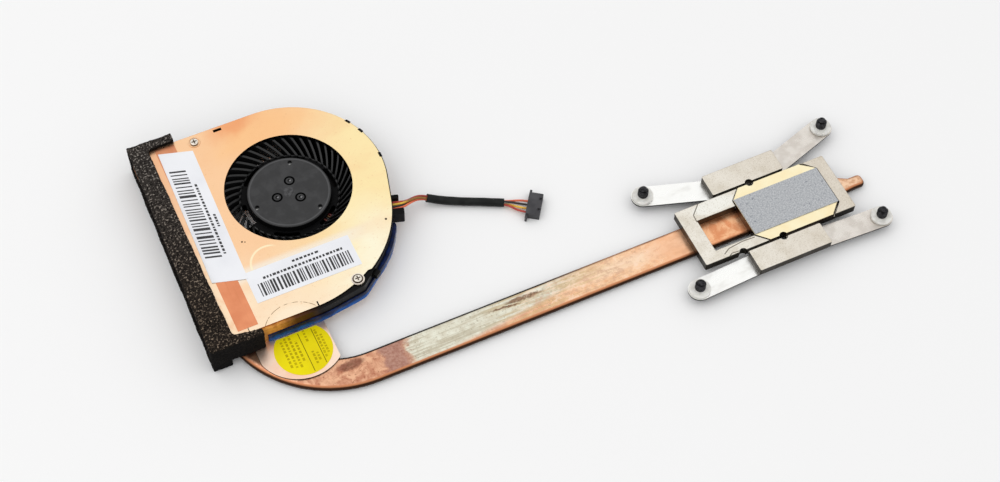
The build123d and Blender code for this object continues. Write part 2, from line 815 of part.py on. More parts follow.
# Contact plate: a chamfered flange with a boss that reaches down to the pipe
boss_length = plate_length / 2 + boss_right_x
boss_center_x = boss_right_x - boss_length / 2
with BuildSketch() as flange_face:
    Rectangle(plate_length, frame_width)
    chamfer(flange_face.vertices(), length=plate_chamfer)
with BuildPart() as contact_plate:
    with BuildSketch(Plane.XY.offset(flange_bottom_z)):
        add(flange_face.sketch)
        with Locations(*pin_places):
            Circle(pin_radius, mode=Mode.SUBTRACT)
    extrude(amount=plate_flange)
    with BuildSketch(Plane.XY.offset(pipe_top_z)):
        with Locations((boss_center_x, window_shift)):
            Rectangle(boss_length, window_width - 2 * plate_clearance)
    extrude(amount=flange_bottom_z - pipe_top_z)
save(contact_plate, "contact_plate")

# Thermal pad on the contact plate
with BuildPart() as thermal_pad:
    with BuildSketch(Plane.XY.offset(plate_top_z)):
        Rectangle(plate_length - 2 * pad_inset, pad_width)
    extrude(amount=pad_thickness)
save(thermal_pad, "thermal_pad")

# Mount frame: bars round the window and the plate, with a wing on each side
with BuildPart() as mount_frame:
    with BuildSketch(Plane.XY.offset(pipe_top_z)):
        with Locations((frame_center_x, 0)):
            RectangleRounded(frame_length, frame_width, wing_edge_round)
        window_left_x = -plate_length / 2 - window_length
        with Locations((window_left_x, window_shift)):
            opening_length = boss_right_x + plate_clearance - window_left_x
            Rectangle(opening_length, window_width, align=(Align.MIN, Align.CENTER), mode=Mode.SUBTRACT)
    extrude(amount=frame_thickness)
    with BuildSketch(Plane.XY.offset(flange_bottom_z)):
        offset(flange_face.sketch, amount=plate_clearance, kind=Kind.INTERSECTION)
    extrude(amount=frame_top_z - flange_bottom_z, mode=Mode.SUBTRACT)
    with BuildSketch(Plane.XY.offset(wing_bottom_z)):
        with Locations((wing_center_x, wing_center_y), (wing_center_x, -wing_center_y)):
            RectangleRounded(wing_length, wing_width, wing_edge_round)
    extrude(amount=frame_top_z - wing_bottom_z)
    with BuildSketch(Plane.XY.offset(wing_bottom_z)):
        with Locations((wing_center_x, groove_y), (wing_center_x, -groove_y)):
            Rectangle(wing_length - 2 * wing_edge_round, groove_width + 2 * wing_edge_round)
    extrude(amount=flange_bottom_z - plate_clearance - wing_bottom_z)
    with BuildSketch(Plane.XY.offset(pipe_top_z)):
        with Locations(*pin_places):
            Circle(pin_radius)
    extrude(amount=frame_thickness, mode=Mode.SUBTRACT)
save(mount_frame, "mount_frame")

# Leaf springs: one under each wing, reaching out to its two screws
wing_half = wing_length / 2
spring_roots = (
    ("upper_spring", wing_center_y, screw_places[:2]),
    ("lower_spring", -wing_center_y, screw_places[2:]),
)
for spring_name, root_y, tips in spring_roots:
    with BuildPart() as leaf_spring:
        with BuildSketch(Plane.XY.offset(pipe_top_z)):
            with BuildLine():
                spring_line = Polyline(
                    tips[0], (wing_center_x - wing_half, root_y), (wing_center_x + wing_half, root_y), tips[1]
                )
            trace(spring_line, line_width=spring_width)
            with Locations(*spring_line.vertices()):
                Circle(spring_width / 2)
            with Locations(*tips):
                Circle(stud_radius + screw_clearance, mode=Mode.SUBTRACT)
        extrude(amount=spring_thickness)
    save(leaf_spring, spring_name)

# Captive screws, each with a neck in the nylon washer that keeps it in its spring
head_top_z = pipe_top_z - screw_float
washer_bottom_z = spring_top_z + screw_float
washer_top_z = washer_bottom_z + retainer_height
stud_bottom_z = washer_top_z + screw_float
stud_top_z = spring_top_z + stud_length
for number, place in enumerate(screw_places, start=1):
    with BuildPart() as captive_screw:
        with BuildSketch(Plane.XY.offset(head_top_z)):
            with Locations(place):
                Circle(screw_head_radius)
        extrude(amount=-screw_head_height)
        fillet(captive_screw.faces().sort_by(Axis.Z)[0].edges(), radius=screw_head_height / 3)
        with BuildSketch(Plane.XY.offset(head_top_z - screw_head_height)):
            with Locations(place):
                RegularPolygon(drive_radius, 6)
        extrude(amount=drive_depth, mode=Mode.SUBTRACT)
        with BuildSketch(Plane.XY.offset(head_top_z)):
            with Locations(place):
                Circle(neck_radius)
        extrude(amount=stud_bottom_z - head_top_z)
        with BuildSketch(Plane.XY.offset(stud_bottom_z)):
            with Locations(place):
                Circle(stud_radius)
        extrude(amount=stud_top_z - stud_bottom_z)
        chamfer(captive_screw.faces().sort_by(Axis.Z)[-1].edges(), length=stud_chamfer)
        with BuildSketch(Plane.XY.offset(stud_top_z)):
            with Locations(place):
                Circle(dog_radius)
        extrude(amount=dog_length)
        chamfer(captive_screw.faces().sort_by(Axis.Z)[-1].edges(), length=stud_chamfer)
    save(captive_screw, f"captive_screw_{number}")
    with BuildPart() as screw_washer:
        with BuildSketch(Plane.XY.offset(washer_bottom_z)):
            with Locations(place):
                Circle(retainer_radius)
        extrude(amount=retainer_height)
        fillet(screw_washer.faces().sort_by(Axis.Z)[-1].edges(), radius=retainer_round)
        with Locations((*place, washer_top_z)):
            Hole(neck_radius + push_clearance)
    save(screw_washer, f"screw_washer_{number}")


# Wires: four lanes side by side at both ends, twisted together round a ring between
wire_names = ("red", "yellow", "black", "orange")
flat_sides = (1.5, 0.5, -0.5, -1.5)
pack_angles = (0, 90, -90, 180)


def lane(route, shifts):
    # Points beside a route, each moved to its left and lifted
    points = []
    for index, (aside, lift) in enumerate(shifts):
        heading = route[min(index + 1, len(route) - 1)] - route[max(index - 1, 0)]
        left = Vector(-heading.Y, heading.X, 0).normalized()
        points.append(route[index] + left * aside + Vector(0, 0, lift))
    return points


def tube_part(node_name, points, diameter, bore):
    # A round tube or solid wire along straight runs joined by tangent arcs
    radii = []
    for before, corner, after in zip(points, points[1:], points[2:]):
        shorter = min((corner - before).length, (after - corner).length)
        turn = (corner - before).get_angle(after - corner)
        radii.append(bend_share * shorter / tan(radians(turn / 2)))
    with BuildPart() as tube:
        with BuildLine() as path:
            FilletPolyline(*points, radius=radii)
        with BuildSketch(Plane(points[0], z_dir=points[1] - points[0])):
            Circle(diameter / 2)
            if bore > 0:
                Circle(bore / 2, mode=Mode.SUBTRACT)
        sweep(path=path.wire())
    length = path.wire().length
    filled = tube.part.volume / (pi / 4 * (diameter**2 - bore**2) * length)
    rounded = [round(radius, 1) for radius in radii]
    print(f"{node_name}: length {length:.1f}, filled {filled:.3f}, radii {rounded}")
    save(tube, node_name)


# Inside leads: from the motor board along the base plate, then up to the wire exit
lead_out = Vector(cos(radians(lead_angle)), sin(radians(lead_angle)), 0)
lead_lift = Vector(0, 0, base_top_z + wire_diameter / 2 + nest_clearance)
fan_center = Vector(fan_x, fan_y, 0) + lead_lift
exit_center = exit_point + Vector(0, 0, base_top_z + exit_lift)
lead_route = [
    fan_center + lead_out * (board_radius + nest_clearance),
    fan_center + lead_out * (bottom_inlet_outer - wire_pitch),
    exit_point + lead_lift - exit_out * lead_low_run,
    exit_center - exit_out * lead_high_run,
    exit_center,
]
for name, side in zip(wire_names, flat_sides):
    tube_part(f"lead_{name}", lane(lead_route, [(side * wire_pitch, 0)] * len(lead_route)), wire_diameter, 0)

# Free wires: chosen points of their middle line, with the height above the resting plane
plug_out = Vector(cos(radians(plug_heading)), sin(radians(plug_heading)), 0)
plug_left = Vector(-plug_out.Y, plug_out.X, 0)
plug_center = Vector(plug_x, plug_y, rest_z + plug_lift + plug_height / 2)
wire_end = plug_center - plug_out * (plug_depth / 2 - wire_entry) - plug_left * pin_pitch / 2
loose_point = exit_center + exit_out * wire_loose
pack_points = [
    Vector(-108.1, 49.5, rest_z + 5.30),
    Vector(-103.6, 51.1, rest_z + 3.50),
    Vector(-98.5, 48.5, rest_z + 1.90),
    Vector(-92.9, 45.7, rest_z + 1.45),
    Vector(-86.3, 42.5, rest_z + 1.45),
    Vector(-78.5, 38.5, rest_z + 1.45),
]
cord_route = [exit_center, loose_point] + pack_points + [wire_end - plug_out * wire_straight, wire_end]
for name, side, angle in zip(wire_names, flat_sides, pack_angles):
    shifts = [(side * wire_pitch, 0)] * 2
    for step in range(len(pack_points)):
        turn = radians(angle + step * pack_twist)
        shifts.append((pack_radius * cos(turn), pack_radius * sin(turn)))
    shifts += [(-side * pin_pitch, 0)] * 2
    tube_part(f"wire_{name}", lane(cord_route, shifts), wire_diameter, 0)
sleeve_route = [
    pack_points[1] + (pack_points[2] - pack_points[1]) * sleeve_start,
    *pack_points[2:5],
    pack_points[4] + (pack_points[5] - pack_points[4]) * sleeve_end,
]
tube_part("wire_sleeve", sleeve_route, sleeve_diameter, sleeve_bore)

# Connector housing with its cavities, back ears and key notches, and the contacts inside
plug_base = Plane(plug_center - Vector(0, 0, plug_height / 2), x_dir=plug_out, z_dir=(0, 0, 1))
plug_back = Plane(plug_center - plug_out * (plug_depth / 2), x_dir=plug_left, z_dir=plug_out)
with BuildPart() as connector_housing:
    with BuildSketch(plug_base):
        RectangleRounded(plug_depth, plug_length, plug_round)
    extrude(amount=plug_height)
    with BuildSketch(plug_base):
        with Locations((-plug_depth / 2, 0)):
            Rectangle(plug_ear_thickness, plug_length + 2 * plug_ear_reach, align=(Align.MIN, Align.CENTER))
    extrude(amount=plug_ear_height)
    with BuildSketch(plug_back):
        with GridLocations(pin_pitch, 0, cavity_count, 1):
            Rectangle(cavity_width, cavity_height)
    extrude(amount=cavity_depth, mode=Mode.SUBTRACT)
    with BuildSketch(plug_base.offset(plug_height)):
        with Locations((plug_depth / 2, 0)):
            with GridLocations(0, key_spacing, 1, 2):
                Rectangle(2 * key_depth, key_width)
    extrude(amount=-key_height, mode=Mode.SUBTRACT)
save(connector_housing, "connector_housing")
contact_length = cavity_depth - wire_entry - 2 * contact_clearance
with BuildPart() as connector_contacts:
    with BuildSketch(plug_back.offset(wire_entry + contact_clearance)):
        with Locations((-pin_pitch / 2, 0)):
            with GridLocations(pin_pitch, 0, len(wire_names), 1):
                Rectangle(contact_width, contact_height)
    extrude(amount=contact_length)
save(connector_contacts, "connector_contacts")
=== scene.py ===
import bmesh
import bpy
import math
import random
from mathutils import Matrix, Vector, noise


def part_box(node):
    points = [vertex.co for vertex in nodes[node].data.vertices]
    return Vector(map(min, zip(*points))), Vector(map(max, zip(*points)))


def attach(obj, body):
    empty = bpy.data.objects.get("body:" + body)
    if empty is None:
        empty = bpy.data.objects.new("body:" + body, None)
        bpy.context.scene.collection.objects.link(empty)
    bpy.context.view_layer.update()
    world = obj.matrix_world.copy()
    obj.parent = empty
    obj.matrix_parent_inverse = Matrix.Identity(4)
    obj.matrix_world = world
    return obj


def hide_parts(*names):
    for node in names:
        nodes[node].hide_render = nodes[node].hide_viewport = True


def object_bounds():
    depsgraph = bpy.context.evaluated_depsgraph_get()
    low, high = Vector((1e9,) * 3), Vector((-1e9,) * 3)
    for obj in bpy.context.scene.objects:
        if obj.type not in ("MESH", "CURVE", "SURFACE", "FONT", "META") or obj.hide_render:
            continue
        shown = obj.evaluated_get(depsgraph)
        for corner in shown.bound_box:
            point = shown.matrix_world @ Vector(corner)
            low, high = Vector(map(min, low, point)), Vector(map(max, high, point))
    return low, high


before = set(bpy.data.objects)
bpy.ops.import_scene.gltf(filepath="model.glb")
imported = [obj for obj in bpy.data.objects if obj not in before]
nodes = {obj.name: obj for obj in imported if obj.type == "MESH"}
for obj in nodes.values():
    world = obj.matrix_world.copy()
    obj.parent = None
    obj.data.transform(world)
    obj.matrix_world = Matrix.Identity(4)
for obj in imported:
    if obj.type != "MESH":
        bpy.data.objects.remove(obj)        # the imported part: every piece below is placed in its frame
cadLow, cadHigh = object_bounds()
scene = bpy.context.scene
scene.view_settings.view_transform = "Standard"
mm = 0.001
floorZ = cadLow.z
print("frame loaded,", len(nodes), "nodes")

# Camera: the photograph's view, looking down on the part as it lies
cameraSet = {"target": (-86.526, 27.378), "elevation": 56.9431, "azimuth": -27.0821, "roll": 2.1191,
             "distance": 619.80, "lens": 71.2146, "sensor": 36.0, "clipStart": 0.01}


def placeCamera(s):
    elevation, azimuth, roll = (math.radians(s[key]) for key in ("elevation", "azimuth", "roll"))
    level = math.cos(elevation)
    back = Vector((math.sin(azimuth) * level, -math.cos(azimuth) * level, math.sin(elevation)))
    right = Vector((0, 0, 1)).cross(back).normalized()
    up = back.cross(right)
    rightRolled = math.cos(roll) * right + math.sin(roll) * up
    upRolled = math.cos(roll) * up - math.sin(roll) * right
    data = bpy.data.cameras.new("photoCamera")
    data.lens = s["lens"]
    data.sensor_width = s["sensor"]
    data.sensor_fit = "HORIZONTAL"
    data.clip_start = s["clipStart"]
    cam = bpy.data.objects.new("photoCamera", data)
    scene.collection.objects.link(cam)
    spot = Vector((s["target"][0] * mm, s["target"][1] * mm, floorZ)) + back * s["distance"] * mm
    cam.matrix_world = Matrix.Translation(spot) @ Matrix((rightRolled, upRolled, back)).transposed().to_4x4()
    scene.camera = cam


placeCamera(cameraSet)

# Node helpers: each returns the socket that the next one takes, and plan lengths are millimetres
finishes = {}        # every material by its name
noHeight = 1e6        # a scale that takes height out of plan distances
colourMix = {"inputs": (0, 6, 7), "output": 2}        # the colour sockets of a mix node
upOver = (0.35, 0.85)        # how far up a face looks, from a wall to a flat


def tone(red, green, blue):
    # a screen colour (sRGB, 0 to 255) turned into linear light
    def channel(value):
        share = value / 255
        return share / 12.92 if value <= 10.3 else ((share + 0.055) / 1.055) ** 2.4
    return (channel(red), channel(green), channel(blue), 1.0)


def put(socket, value):
    if isinstance(value, bpy.types.NodeSocket):
        socket.id_data.links.new(value, socket)
    else:
        socket.default_value = value


def addNode(near, kind, inputs, **settings):
    # a new node in the tree of a socket, with its settings, and its inputs linked or set
    node = near.id_data.nodes.new(kind)
    for key, value in settings.items():
        setattr(node, key, value)
    for key, value in inputs.items():
        put(node.inputs[key], value)
    return node.outputs


def startMaterial(name, s, metallic=0.0):
    mat = bpy.data.materials.new(name)
    mat.use_nodes = True
    finishes[name] = mat
    bsdf = mat.node_tree.nodes["Principled BSDF"]
    put(bsdf.inputs["Roughness"], s.get("roughness", 0.5))
    put(bsdf.inputs["Specular IOR Level"], s.get("gloss", 0.5))
    put(bsdf.inputs["Metallic"], metallic)
    spot = mat.node_tree.nodes.new("ShaderNodeTexCoord").outputs["Object"]
    return bsdf, stretched(spot, (1 / mm,) * 3)


def stretched(where, scale, turn=0.0):
    inputs = {"Vector": where, "Rotation": (0, 0, math.radians(turn)), "Scale": scale}
    return addNode(where, "ShaderNodeMapping", inputs)[0]


def placed(where, x, y, heading=0.0, half=1.0, thick=1.0):
    # plan coordinates about a point, with X along the heading, in shares of two half lengths
    inputs = {"Vector": where, "Location": (x, y, 0), "Rotation": (0, 0, math.radians(heading)),
              "Scale": (half, thick, noHeight)}
    return addNode(where, "ShaderNodeMapping", inputs, vector_type="TEXTURE")[0]


def vectorCalc(operation, first, second=(0, 0, 0)):
    result = addNode(first, "ShaderNodeVectorMath", {0: first, 1: second}, operation=operation)
    return result["Value"] if operation == "LENGTH" else result["Vector"]


def calc(operation, first, second=0.0):
    near = first if isinstance(first, bpy.types.NodeSocket) else second
    return addNode(near, "ShaderNodeMath", {0: first, 1: second}, operation=operation)[0]


def both(first, *others):
    for share in others:
        first = calc("MULTIPLY", first, share)
    return first


def splitAxes(vector):
    return addNode(vector, "ShaderNodeSeparateXYZ", {0: vector})


def noiseNode(where, scale, detail, rough):
    inputs = {"Vector": where, "Scale": scale, "Detail": detail, "Roughness": rough}
    return addNode(where, "ShaderNodeTexNoise", inputs)


def grain(where, scale, detail=4.0, rough=0.55):
    return noiseNode(where, scale, detail, rough)["Fac"]


def ragged(where, scale, stray, detail=4.0, rough=0.6):
    # the same place, strayed by noise, for worn edges and drifting colour
    shake = vectorCalc("SUBTRACT", noiseNode(where, scale, detail, rough)["Color"], (0.5,) * 3)
    return vectorCalc("ADD", where, vectorCalc("MULTIPLY", shake, (stray,) * 3))


def cells(where, scale):
    return addNode(where, "ShaderNodeTexVoronoi", {"Vector": where, "Scale": scale})["Distance"]


def fade(value, low, high, toLow=0.0, toHigh=1.0):
    inputs = {"Value": value, "From Min": low, "From Max": high, "To Min": toLow, "To Max": toHigh}
    return addNode(value, "ShaderNodeMapRange", inputs, interpolation_type="SMOOTHSTEP")[0]


def band(value, low, high, soft):
    return both(fade(value, low - soft, low + soft), fade(value, high + soft, high - soft))


def blendTone(share, first, second):
    inputs = dict(zip(colourMix["inputs"], (share, first, second)))
    return addNode(share, "ShaderNodeMix", inputs, data_type="RGBA")[colourMix["output"]]


def mottle(where, scale, first, second, low=0.35, high=0.7, detail=4.0):
    return blendTone(fade(grain(where, scale, detail), low, high), first, second)


def fromPoint(where, x, y):
    return vectorCalc("LENGTH", placed(where, x, y))


def along(where, x, y, heading):
    return splitAxes(placed(where, x, y, heading))["X"]


def blot(where, x, y, heading, half, thick, edge=0.3):
    # 1 inside an oval of the given half lengths
    away = vectorCalc("LENGTH", placed(where, x, y, heading, half, thick))
    return fade(away, 1 + edge, 1 - edge)


def stroke(where, start, end, wide, soft=0.1):
    # 1 on a fine line between two plan points
    run = Vector((end[0] - start[0], end[1] - start[1]))
    middle = (Vector(start) + Vector(end)) / 2
    axes = splitAxes(placed(where, *middle, math.degrees(math.atan2(run.y, run.x))))
    inRun = band(axes["X"], -run.length / 2, run.length / 2, soft)
    return both(inRun, band(axes["Y"], -wide / 2, wide / 2, wide / 3))


def facing(where):
    return splitAxes(addNode(where, "ShaderNodeNewGeometry", {})["Normal"])


def faceUp(where):
    # 1 on faces that look up, 0 on walls and undersides
    return fade(facing(where)["Z"], *upOver)


def relief(height, strength, depth, onto=None):
    inputs = {"Height": height, "Strength": strength, "Distance": depth * mm}
    if onto is not None:
        inputs["Normal"] = onto
    return addNode(height, "ShaderNodeBump", inputs)[0]


def softEdge(where, radius, samples=4):
    return addNode(where, "ShaderNodeBevel", {"Radius": radius * mm}, samples=samples)[0]


# Helpers that read settings by name: a tone, and its fade (Over), noise (Grain) and strength (Share)
def laid(base, s, key, *shares):
    if key + "Share" in s:
        shares += (s[key + "Share"],)
    return blendTone(both(*shares), base, s[key])


def tinted(base, value, s, key):
    return laid(base, s, key, fade(value, *s[key + "Over"]))


def flecked(base, where, s, key):
    return tinted(base, grain(where, *s[key + "Grain"]), s, key)


def wear(bsdf, where, s):
    put(bsdf.inputs["Roughness"], fade(grain(where, *s["roughGrain"]), *s["roughOver"]))


def dress(bsdf, where, base, s, onto=None):
    put(bsdf.inputs["Base Color"], base)
    put(bsdf.inputs["Normal"], relief(grain(where, *s["skinGrain"]), *s["relief"], onto))


def meshPiece(bm, name, smooth=False):
    mesh = bpy.data.meshes.new(name)
    bm.to_mesh(mesh)
    bm.free()
    obj = bpy.data.objects.new(name, mesh)
    scene.collection.objects.link(obj)
    if smooth:
        mesh.shade_smooth()
    return obj


# Studio: pale floor, a bright even sky and one soft box high on the left
studioSet = {"sky": 1.0, "skyLow": 0.35, "skyFull": 0.6, "boxPower": 1.2, "boxSize": 0.8, "boxAway": 1.1,
             "boxDirection": (-0.6, 0.1, 0.8), "floorSize": 4.0, "floorTone": 0.93, "floorRough": 0.9,
             "floorGloss": 0.1}


def buildSky(s):
    world = bpy.data.worlds.new("studioSky")
    world.use_nodes = True
    scene.world = world
    tree = world.node_tree
    where = tree.nodes.new("ShaderNodeTexCoord").outputs["Generated"]
    inputs = {"Value": splitAxes(where)["Z"], "From Min": 0.0, "From Max": s["skyFull"],
              "To Min": s["skyLow"], "To Max": s["sky"]}
    sky = tree.nodes["Background"]
    put(sky.inputs["Strength"], addNode(where, "ShaderNodeMapRange", inputs)[0])
    put(sky.inputs["Color"], (1, 1, 1, 1))


def buildStudio(s):
    buildSky(s)
    lamp = bpy.data.lights.new("softBox", "AREA")
    lamp.shape = "RECTANGLE"
    lamp.size = s["boxSize"]
    lamp.size_y = s["boxSize"]
    lamp.energy = s["boxPower"]
    box = bpy.data.objects.new("softBox", lamp)
    scene.collection.objects.link(box)
    aim = Vector(s["boxDirection"]).normalized()
    turned = aim.to_track_quat("Z", "Y").to_matrix().to_4x4()
    centre = (cadLow + cadHigh) / 2
    box.matrix_world = Matrix.Translation(centre + aim * s["boxAway"]) @ turned

    bm = bmesh.new()
    bmesh.ops.create_grid(bm, x_segments=1, y_segments=1, size=s["floorSize"] / 2,
                          matrix=Matrix.Translation((centre.x, centre.y, floorZ)))
    floor = meshPiece(bm, "studioFloor")
    mat = bpy.data.materials.new("studioFloor")
    mat.use_nodes = True
    bsdf = mat.node_tree.nodes["Principled BSDF"]
    put(bsdf.inputs["Base Color"], (s["floorTone"],) * 3 + (1,))
    put(bsdf.inputs["Roughness"], s["floorRough"])
    put(bsdf.inputs["Specular IOR Level"], s["floorGloss"])
    floor.data.materials.append(mat)


buildStudio(studioSet)
print("camera and studio ready")

fanAxis = (-141.0, 67.0)
fineRelief = (0.10, 0.02)        # strength and depth of the grain on smooth metal

# Copper cover: orange near the top left, paling to the right and the front, with marks of wear
coverSet = {
    "rightHeading": -27, "frontHeading": -117, "drift": (0.045, 18),
    "orange": tone(252, 207, 163), "yellow": tone(254, 233, 178), "yellowOver": (-10, 20),
    "cream": tone(254, 230, 198), "creamOver": (20, 44),
    "pale": tone(255, 248, 220), "paleRight": (11, 28), "paleFront": (-4, 20),
    "warm": tone(253, 199, 142), "warmBlot": (-141, 91, 8, 16, 8, 0.6), "warmShare": 0.8,
    "red": tone(243, 166, 114), "redBlot": (-148, 98, 10, 9, 5, 0.6),
    "cloud": tone(246, 190, 142), "cloudStretch": ((0.05, 0.11, 1), 40), "cloudGrain": (1.0, 4),
    "cloudOver": (0.45, 0.72, 0, 0.22),
    "haze": tone(248, 238, 222), "hazeRows": (40, 44.4, 1.3), "hazeRight": (28, 16), "hazeShare": 0.8,
    "speck": tone(226, 168, 118), "speckGrain": (1.6, 2), "speckOver": (0.64, 0.74, 0, 0.3),
    "scratch": tone(120, 84, 44), "scratchPlace": (-157.8, 17.5), "scratchBand": (9.92, 10.08, 0.06),
    "wornGrain": (0.7, 2), "wornOver": (0.36, 0.46),
    "rubbed": tone(255, 240, 214), "rubbedOver": (10.0, 7.5, 0, 0.6),
    "glue": tone(255, 244, 206), "gluePlace": (-156.2, 43.2), "glueBand": (5.9, 6.5, 0.2),
    "glueBlot": (-159.1, 47.6, 45, 6.6, 4.4), "glueShare": 0.85,
    "dot": tone(66, 52, 38), "dots": ((-161.6, 53.8, 0.30), (-160.8, 53.4, 0.22), (-118.2, 43.3, 0.38)),
    "screw": (-134.65, 26.77), "collar": tone(244, 232, 220), "collarOver": (2.1, 2.0),
    "groove": tone(96, 82, 68), "grooveBand": (1.3, 1.68, 0.06),
    "edge": tone(70, 48, 30), "gold": tone(206, 142, 70), "goldOver": (-146, -160), "edgeRound": 0.12,
    "roughGrain": (0.16,), "roughOver": (0.3, 0.75, 0.28, 0.42),
    "skinStretch": (0.04, 0.9, 0.2), "skinGrain": (6, 3), "relief": fineRelief,
}


def coverCopper(s):
    bsdf, where = startMaterial("coverCopper", s, 1.0)
    loose = ragged(where, *s["drift"])
    right = along(loose, *fanAxis, s["rightHeading"])
    front = along(loose, *fanAxis, s["frontHeading"])
    # the paling to yellow, cream and pale towards the right and the front is partly the coating's own colour
    # and partly a painted reflection of bright light
    base = tinted(s["orange"], right, s, "yellow")
    base = tinted(base, front, s, "cream")
    base = laid(base, s, "pale", fade(right, *s["paleRight"]), fade(front, *s["paleFront"]))
    base = laid(base, s, "warm", blot(loose, *s["warmBlot"]))
    base = laid(base, s, "red", blot(loose, *s["redBlot"]))
    base = flecked(base, stretched(where, *s["cloudStretch"]), s, "cloud")
    rows = band(splitAxes(where)["Y"], *s["hazeRows"])
    base = laid(base, s, "haze", rows, fade(right, *s["hazeRight"]))
    base = flecked(base, where, s, "speck")
    bow = fromPoint(where, *s["scratchPlace"])
    base = tinted(base, bow, s, "rubbed")
    worn = fade(grain(where, *s["wornGrain"]), *s["wornOver"])
    base = laid(base, s, "scratch", band(bow, *s["scratchBand"]), worn)
    smear = band(fromPoint(where, *s["gluePlace"]), *s["glueBand"])
    base = laid(base, s, "glue", smear, blot(where, *s["glueBlot"]))
    for x, y, size in s["dots"]:
        base = laid(base, s, "dot", blot(where, x, y, 0, size, size))
    away = fromPoint(where, *s["screw"])
    base = tinted(base, away, s, "collar")
    # painted shade in the gap between the screw head and its collar
    base = laid(base, s, "groove", band(away, *s["grooveBand"]))
    # painted shade on the side faces: dark brown, turning gold towards the outlet end
    edge = tinted(s["edge"], splitAxes(where)["X"], s, "gold")
    wear(bsdf, where, s)
    base = blendTone(faceUp(where), edge, base)
    dress(bsdf, stretched(where, s["skinStretch"]), base, s, softEdge(where, s["edgeRound"]))


coverCopper(coverSet)

# Seam tape: rolled copper foil, duller at the far end
tapeSet = {
    "roughness": 0.38, "foil": (0.14, tone(236, 156, 114), tone(224, 142, 102)),
    "far": tone(220, 149, 111), "farOver": (70, 96),
    "rolled": tone(206, 124, 84), "rolledStretch": (0.9, 0.05, 0.2), "rolledGrain": (1, 3),
    "rolledOver": (0.5, 0.75, 0, 0.35),
}


def tapeCopper(s):
    bsdf, where = startMaterial("tapeCopper", s, 1.0)
    base = tinted(mottle(where, *s["foil"]), splitAxes(where)["Y"], s, "far")
    rolled = grain(stretched(where, s["rolledStretch"]), *s["rolledGrain"])
    put(bsdf.inputs["Base Color"], tinted(base, rolled, s, "rolled"))
    put(bsdf.inputs["Normal"], relief(rolled, *fineRelief))


tapeCopper(tapeSet)

# Heat pipe: bare copper, grey tarnish along the middle of the run and burnt marks at the bend
pipeSet = {
    "bend": (-140.5, 33.65), "bendRadius": 32.0, "drift": (0.16, 9),
    "drawnStretch": (0.07, 1.5, 1), "drawnGrain": (1, 4),
    "copper": (0.42, tone(240, 188, 152), tone(194, 130, 102), 0.34, 0.66, 6),
    "paler": (0.5, tone(254, 212, 172), tone(242, 186, 142)), "palerStretch": (0.3, 1, 1),
    "palerOver": (-126, -60),
    "crest": tone(255, 230, 202), "crestAcross": (-1.6, 2.6, 1.4), "crestFrom": (-84, -62), "crestShare": 0.6,
    "mauve": (1.2, tone(186, 144, 130), tone(162, 116, 102)), "mauveRun": (-138.0, -129.0, 1.2),
    "mauveShare": 0.9,
    "tarnish": (0.5, tone(236, 235, 218), tone(218, 212, 192), 0.3, 0.7),
    "line": tone(190, 180, 156), "lineOver": (0.46, 0.62, 0, 0.7),
    "greyStart": (-129.5, -127.5), "greyEnd": (-60.0, -86.0),
    "bareFrom": -92.0, "bareSlope": 0.12, "bareOver": (-3.2, -1.0),
    "gold": tone(214, 186, 134), "goldRun": (-100, -62, 10), "goldDrawn": (0.44, 0.58), "goldShare": 0.5,
    "markDrift": (0.9, 1.6),
    "burnt": (1.5, tone(148, 98, 82), tone(112, 72, 54)), "burntBlot": (-146.8, 4.3, 2, 4.2, 1.5),
    "burntShare": 0.85,
    "brown": (1.5, tone(142, 106, 80), tone(104, 78, 56)), "brownShare": 0.9,
    "brownBlots": ((-89.6, 4.1, -2, 6.0, 0.75), (-96.3, 3.2, -5, 5.0, 0.35)),
    "rust": tone(150, 88, 62), "rustRun": (-168, -126, 4), "rustGrain": (1.1, 4, 0.65),
    "rustSpots": (0.58, 0.70), "rustShare": 0.8,
    "ash": tone(150, 142, 120), "ashGrain": (1.4, 5, 0.72), "ashSpots": (0.54, 0.70), "ashShare": 0.7,
    "streakDrift": (0.6, 2.5), "streakStretch": (0.5, 1, 1), "streakGrain": (0.7, 5, 0.65),
    "streakFrom": (-100, -84), "dull": tone(212, 170, 142), "dullSpots": (0.48, 0.64), "dullShare": 0.6,
    "bright": tone(255, 226, 202), "brightSpots": (0.48, 0.34), "brightShare": 0.6,
    "glow": tone(249, 190, 148), "glowOver": (-50, -42), "glowShare": 0.7,
    "hot": (0.32, tone(252, 196, 150), tone(230, 154, 108), 0.35, 0.62), "hotOver": (-33.0, -29.0),
    "tip": (0.8, tone(248, 210, 176), tone(216, 166, 130)), "tipOver": (17, 21),
    "rim": tone(206, 138, 98), "rimOver": (0.97, 0.84), "side": tone(58, 38, 26), "sideOver": (0.80, 0.50),
    "shade": tone(34, 26, 20), "shadeAcross": (4.0, 4.4), "shadeRun": (-58, -86, 0.25, 1.0),
    "shadeEnd": (-36, -40),
    "roughGrain": (0.24,), "roughOver": (0.3, 0.7, 0.26, 0.44), "relief": (0.12, 0.04),
}


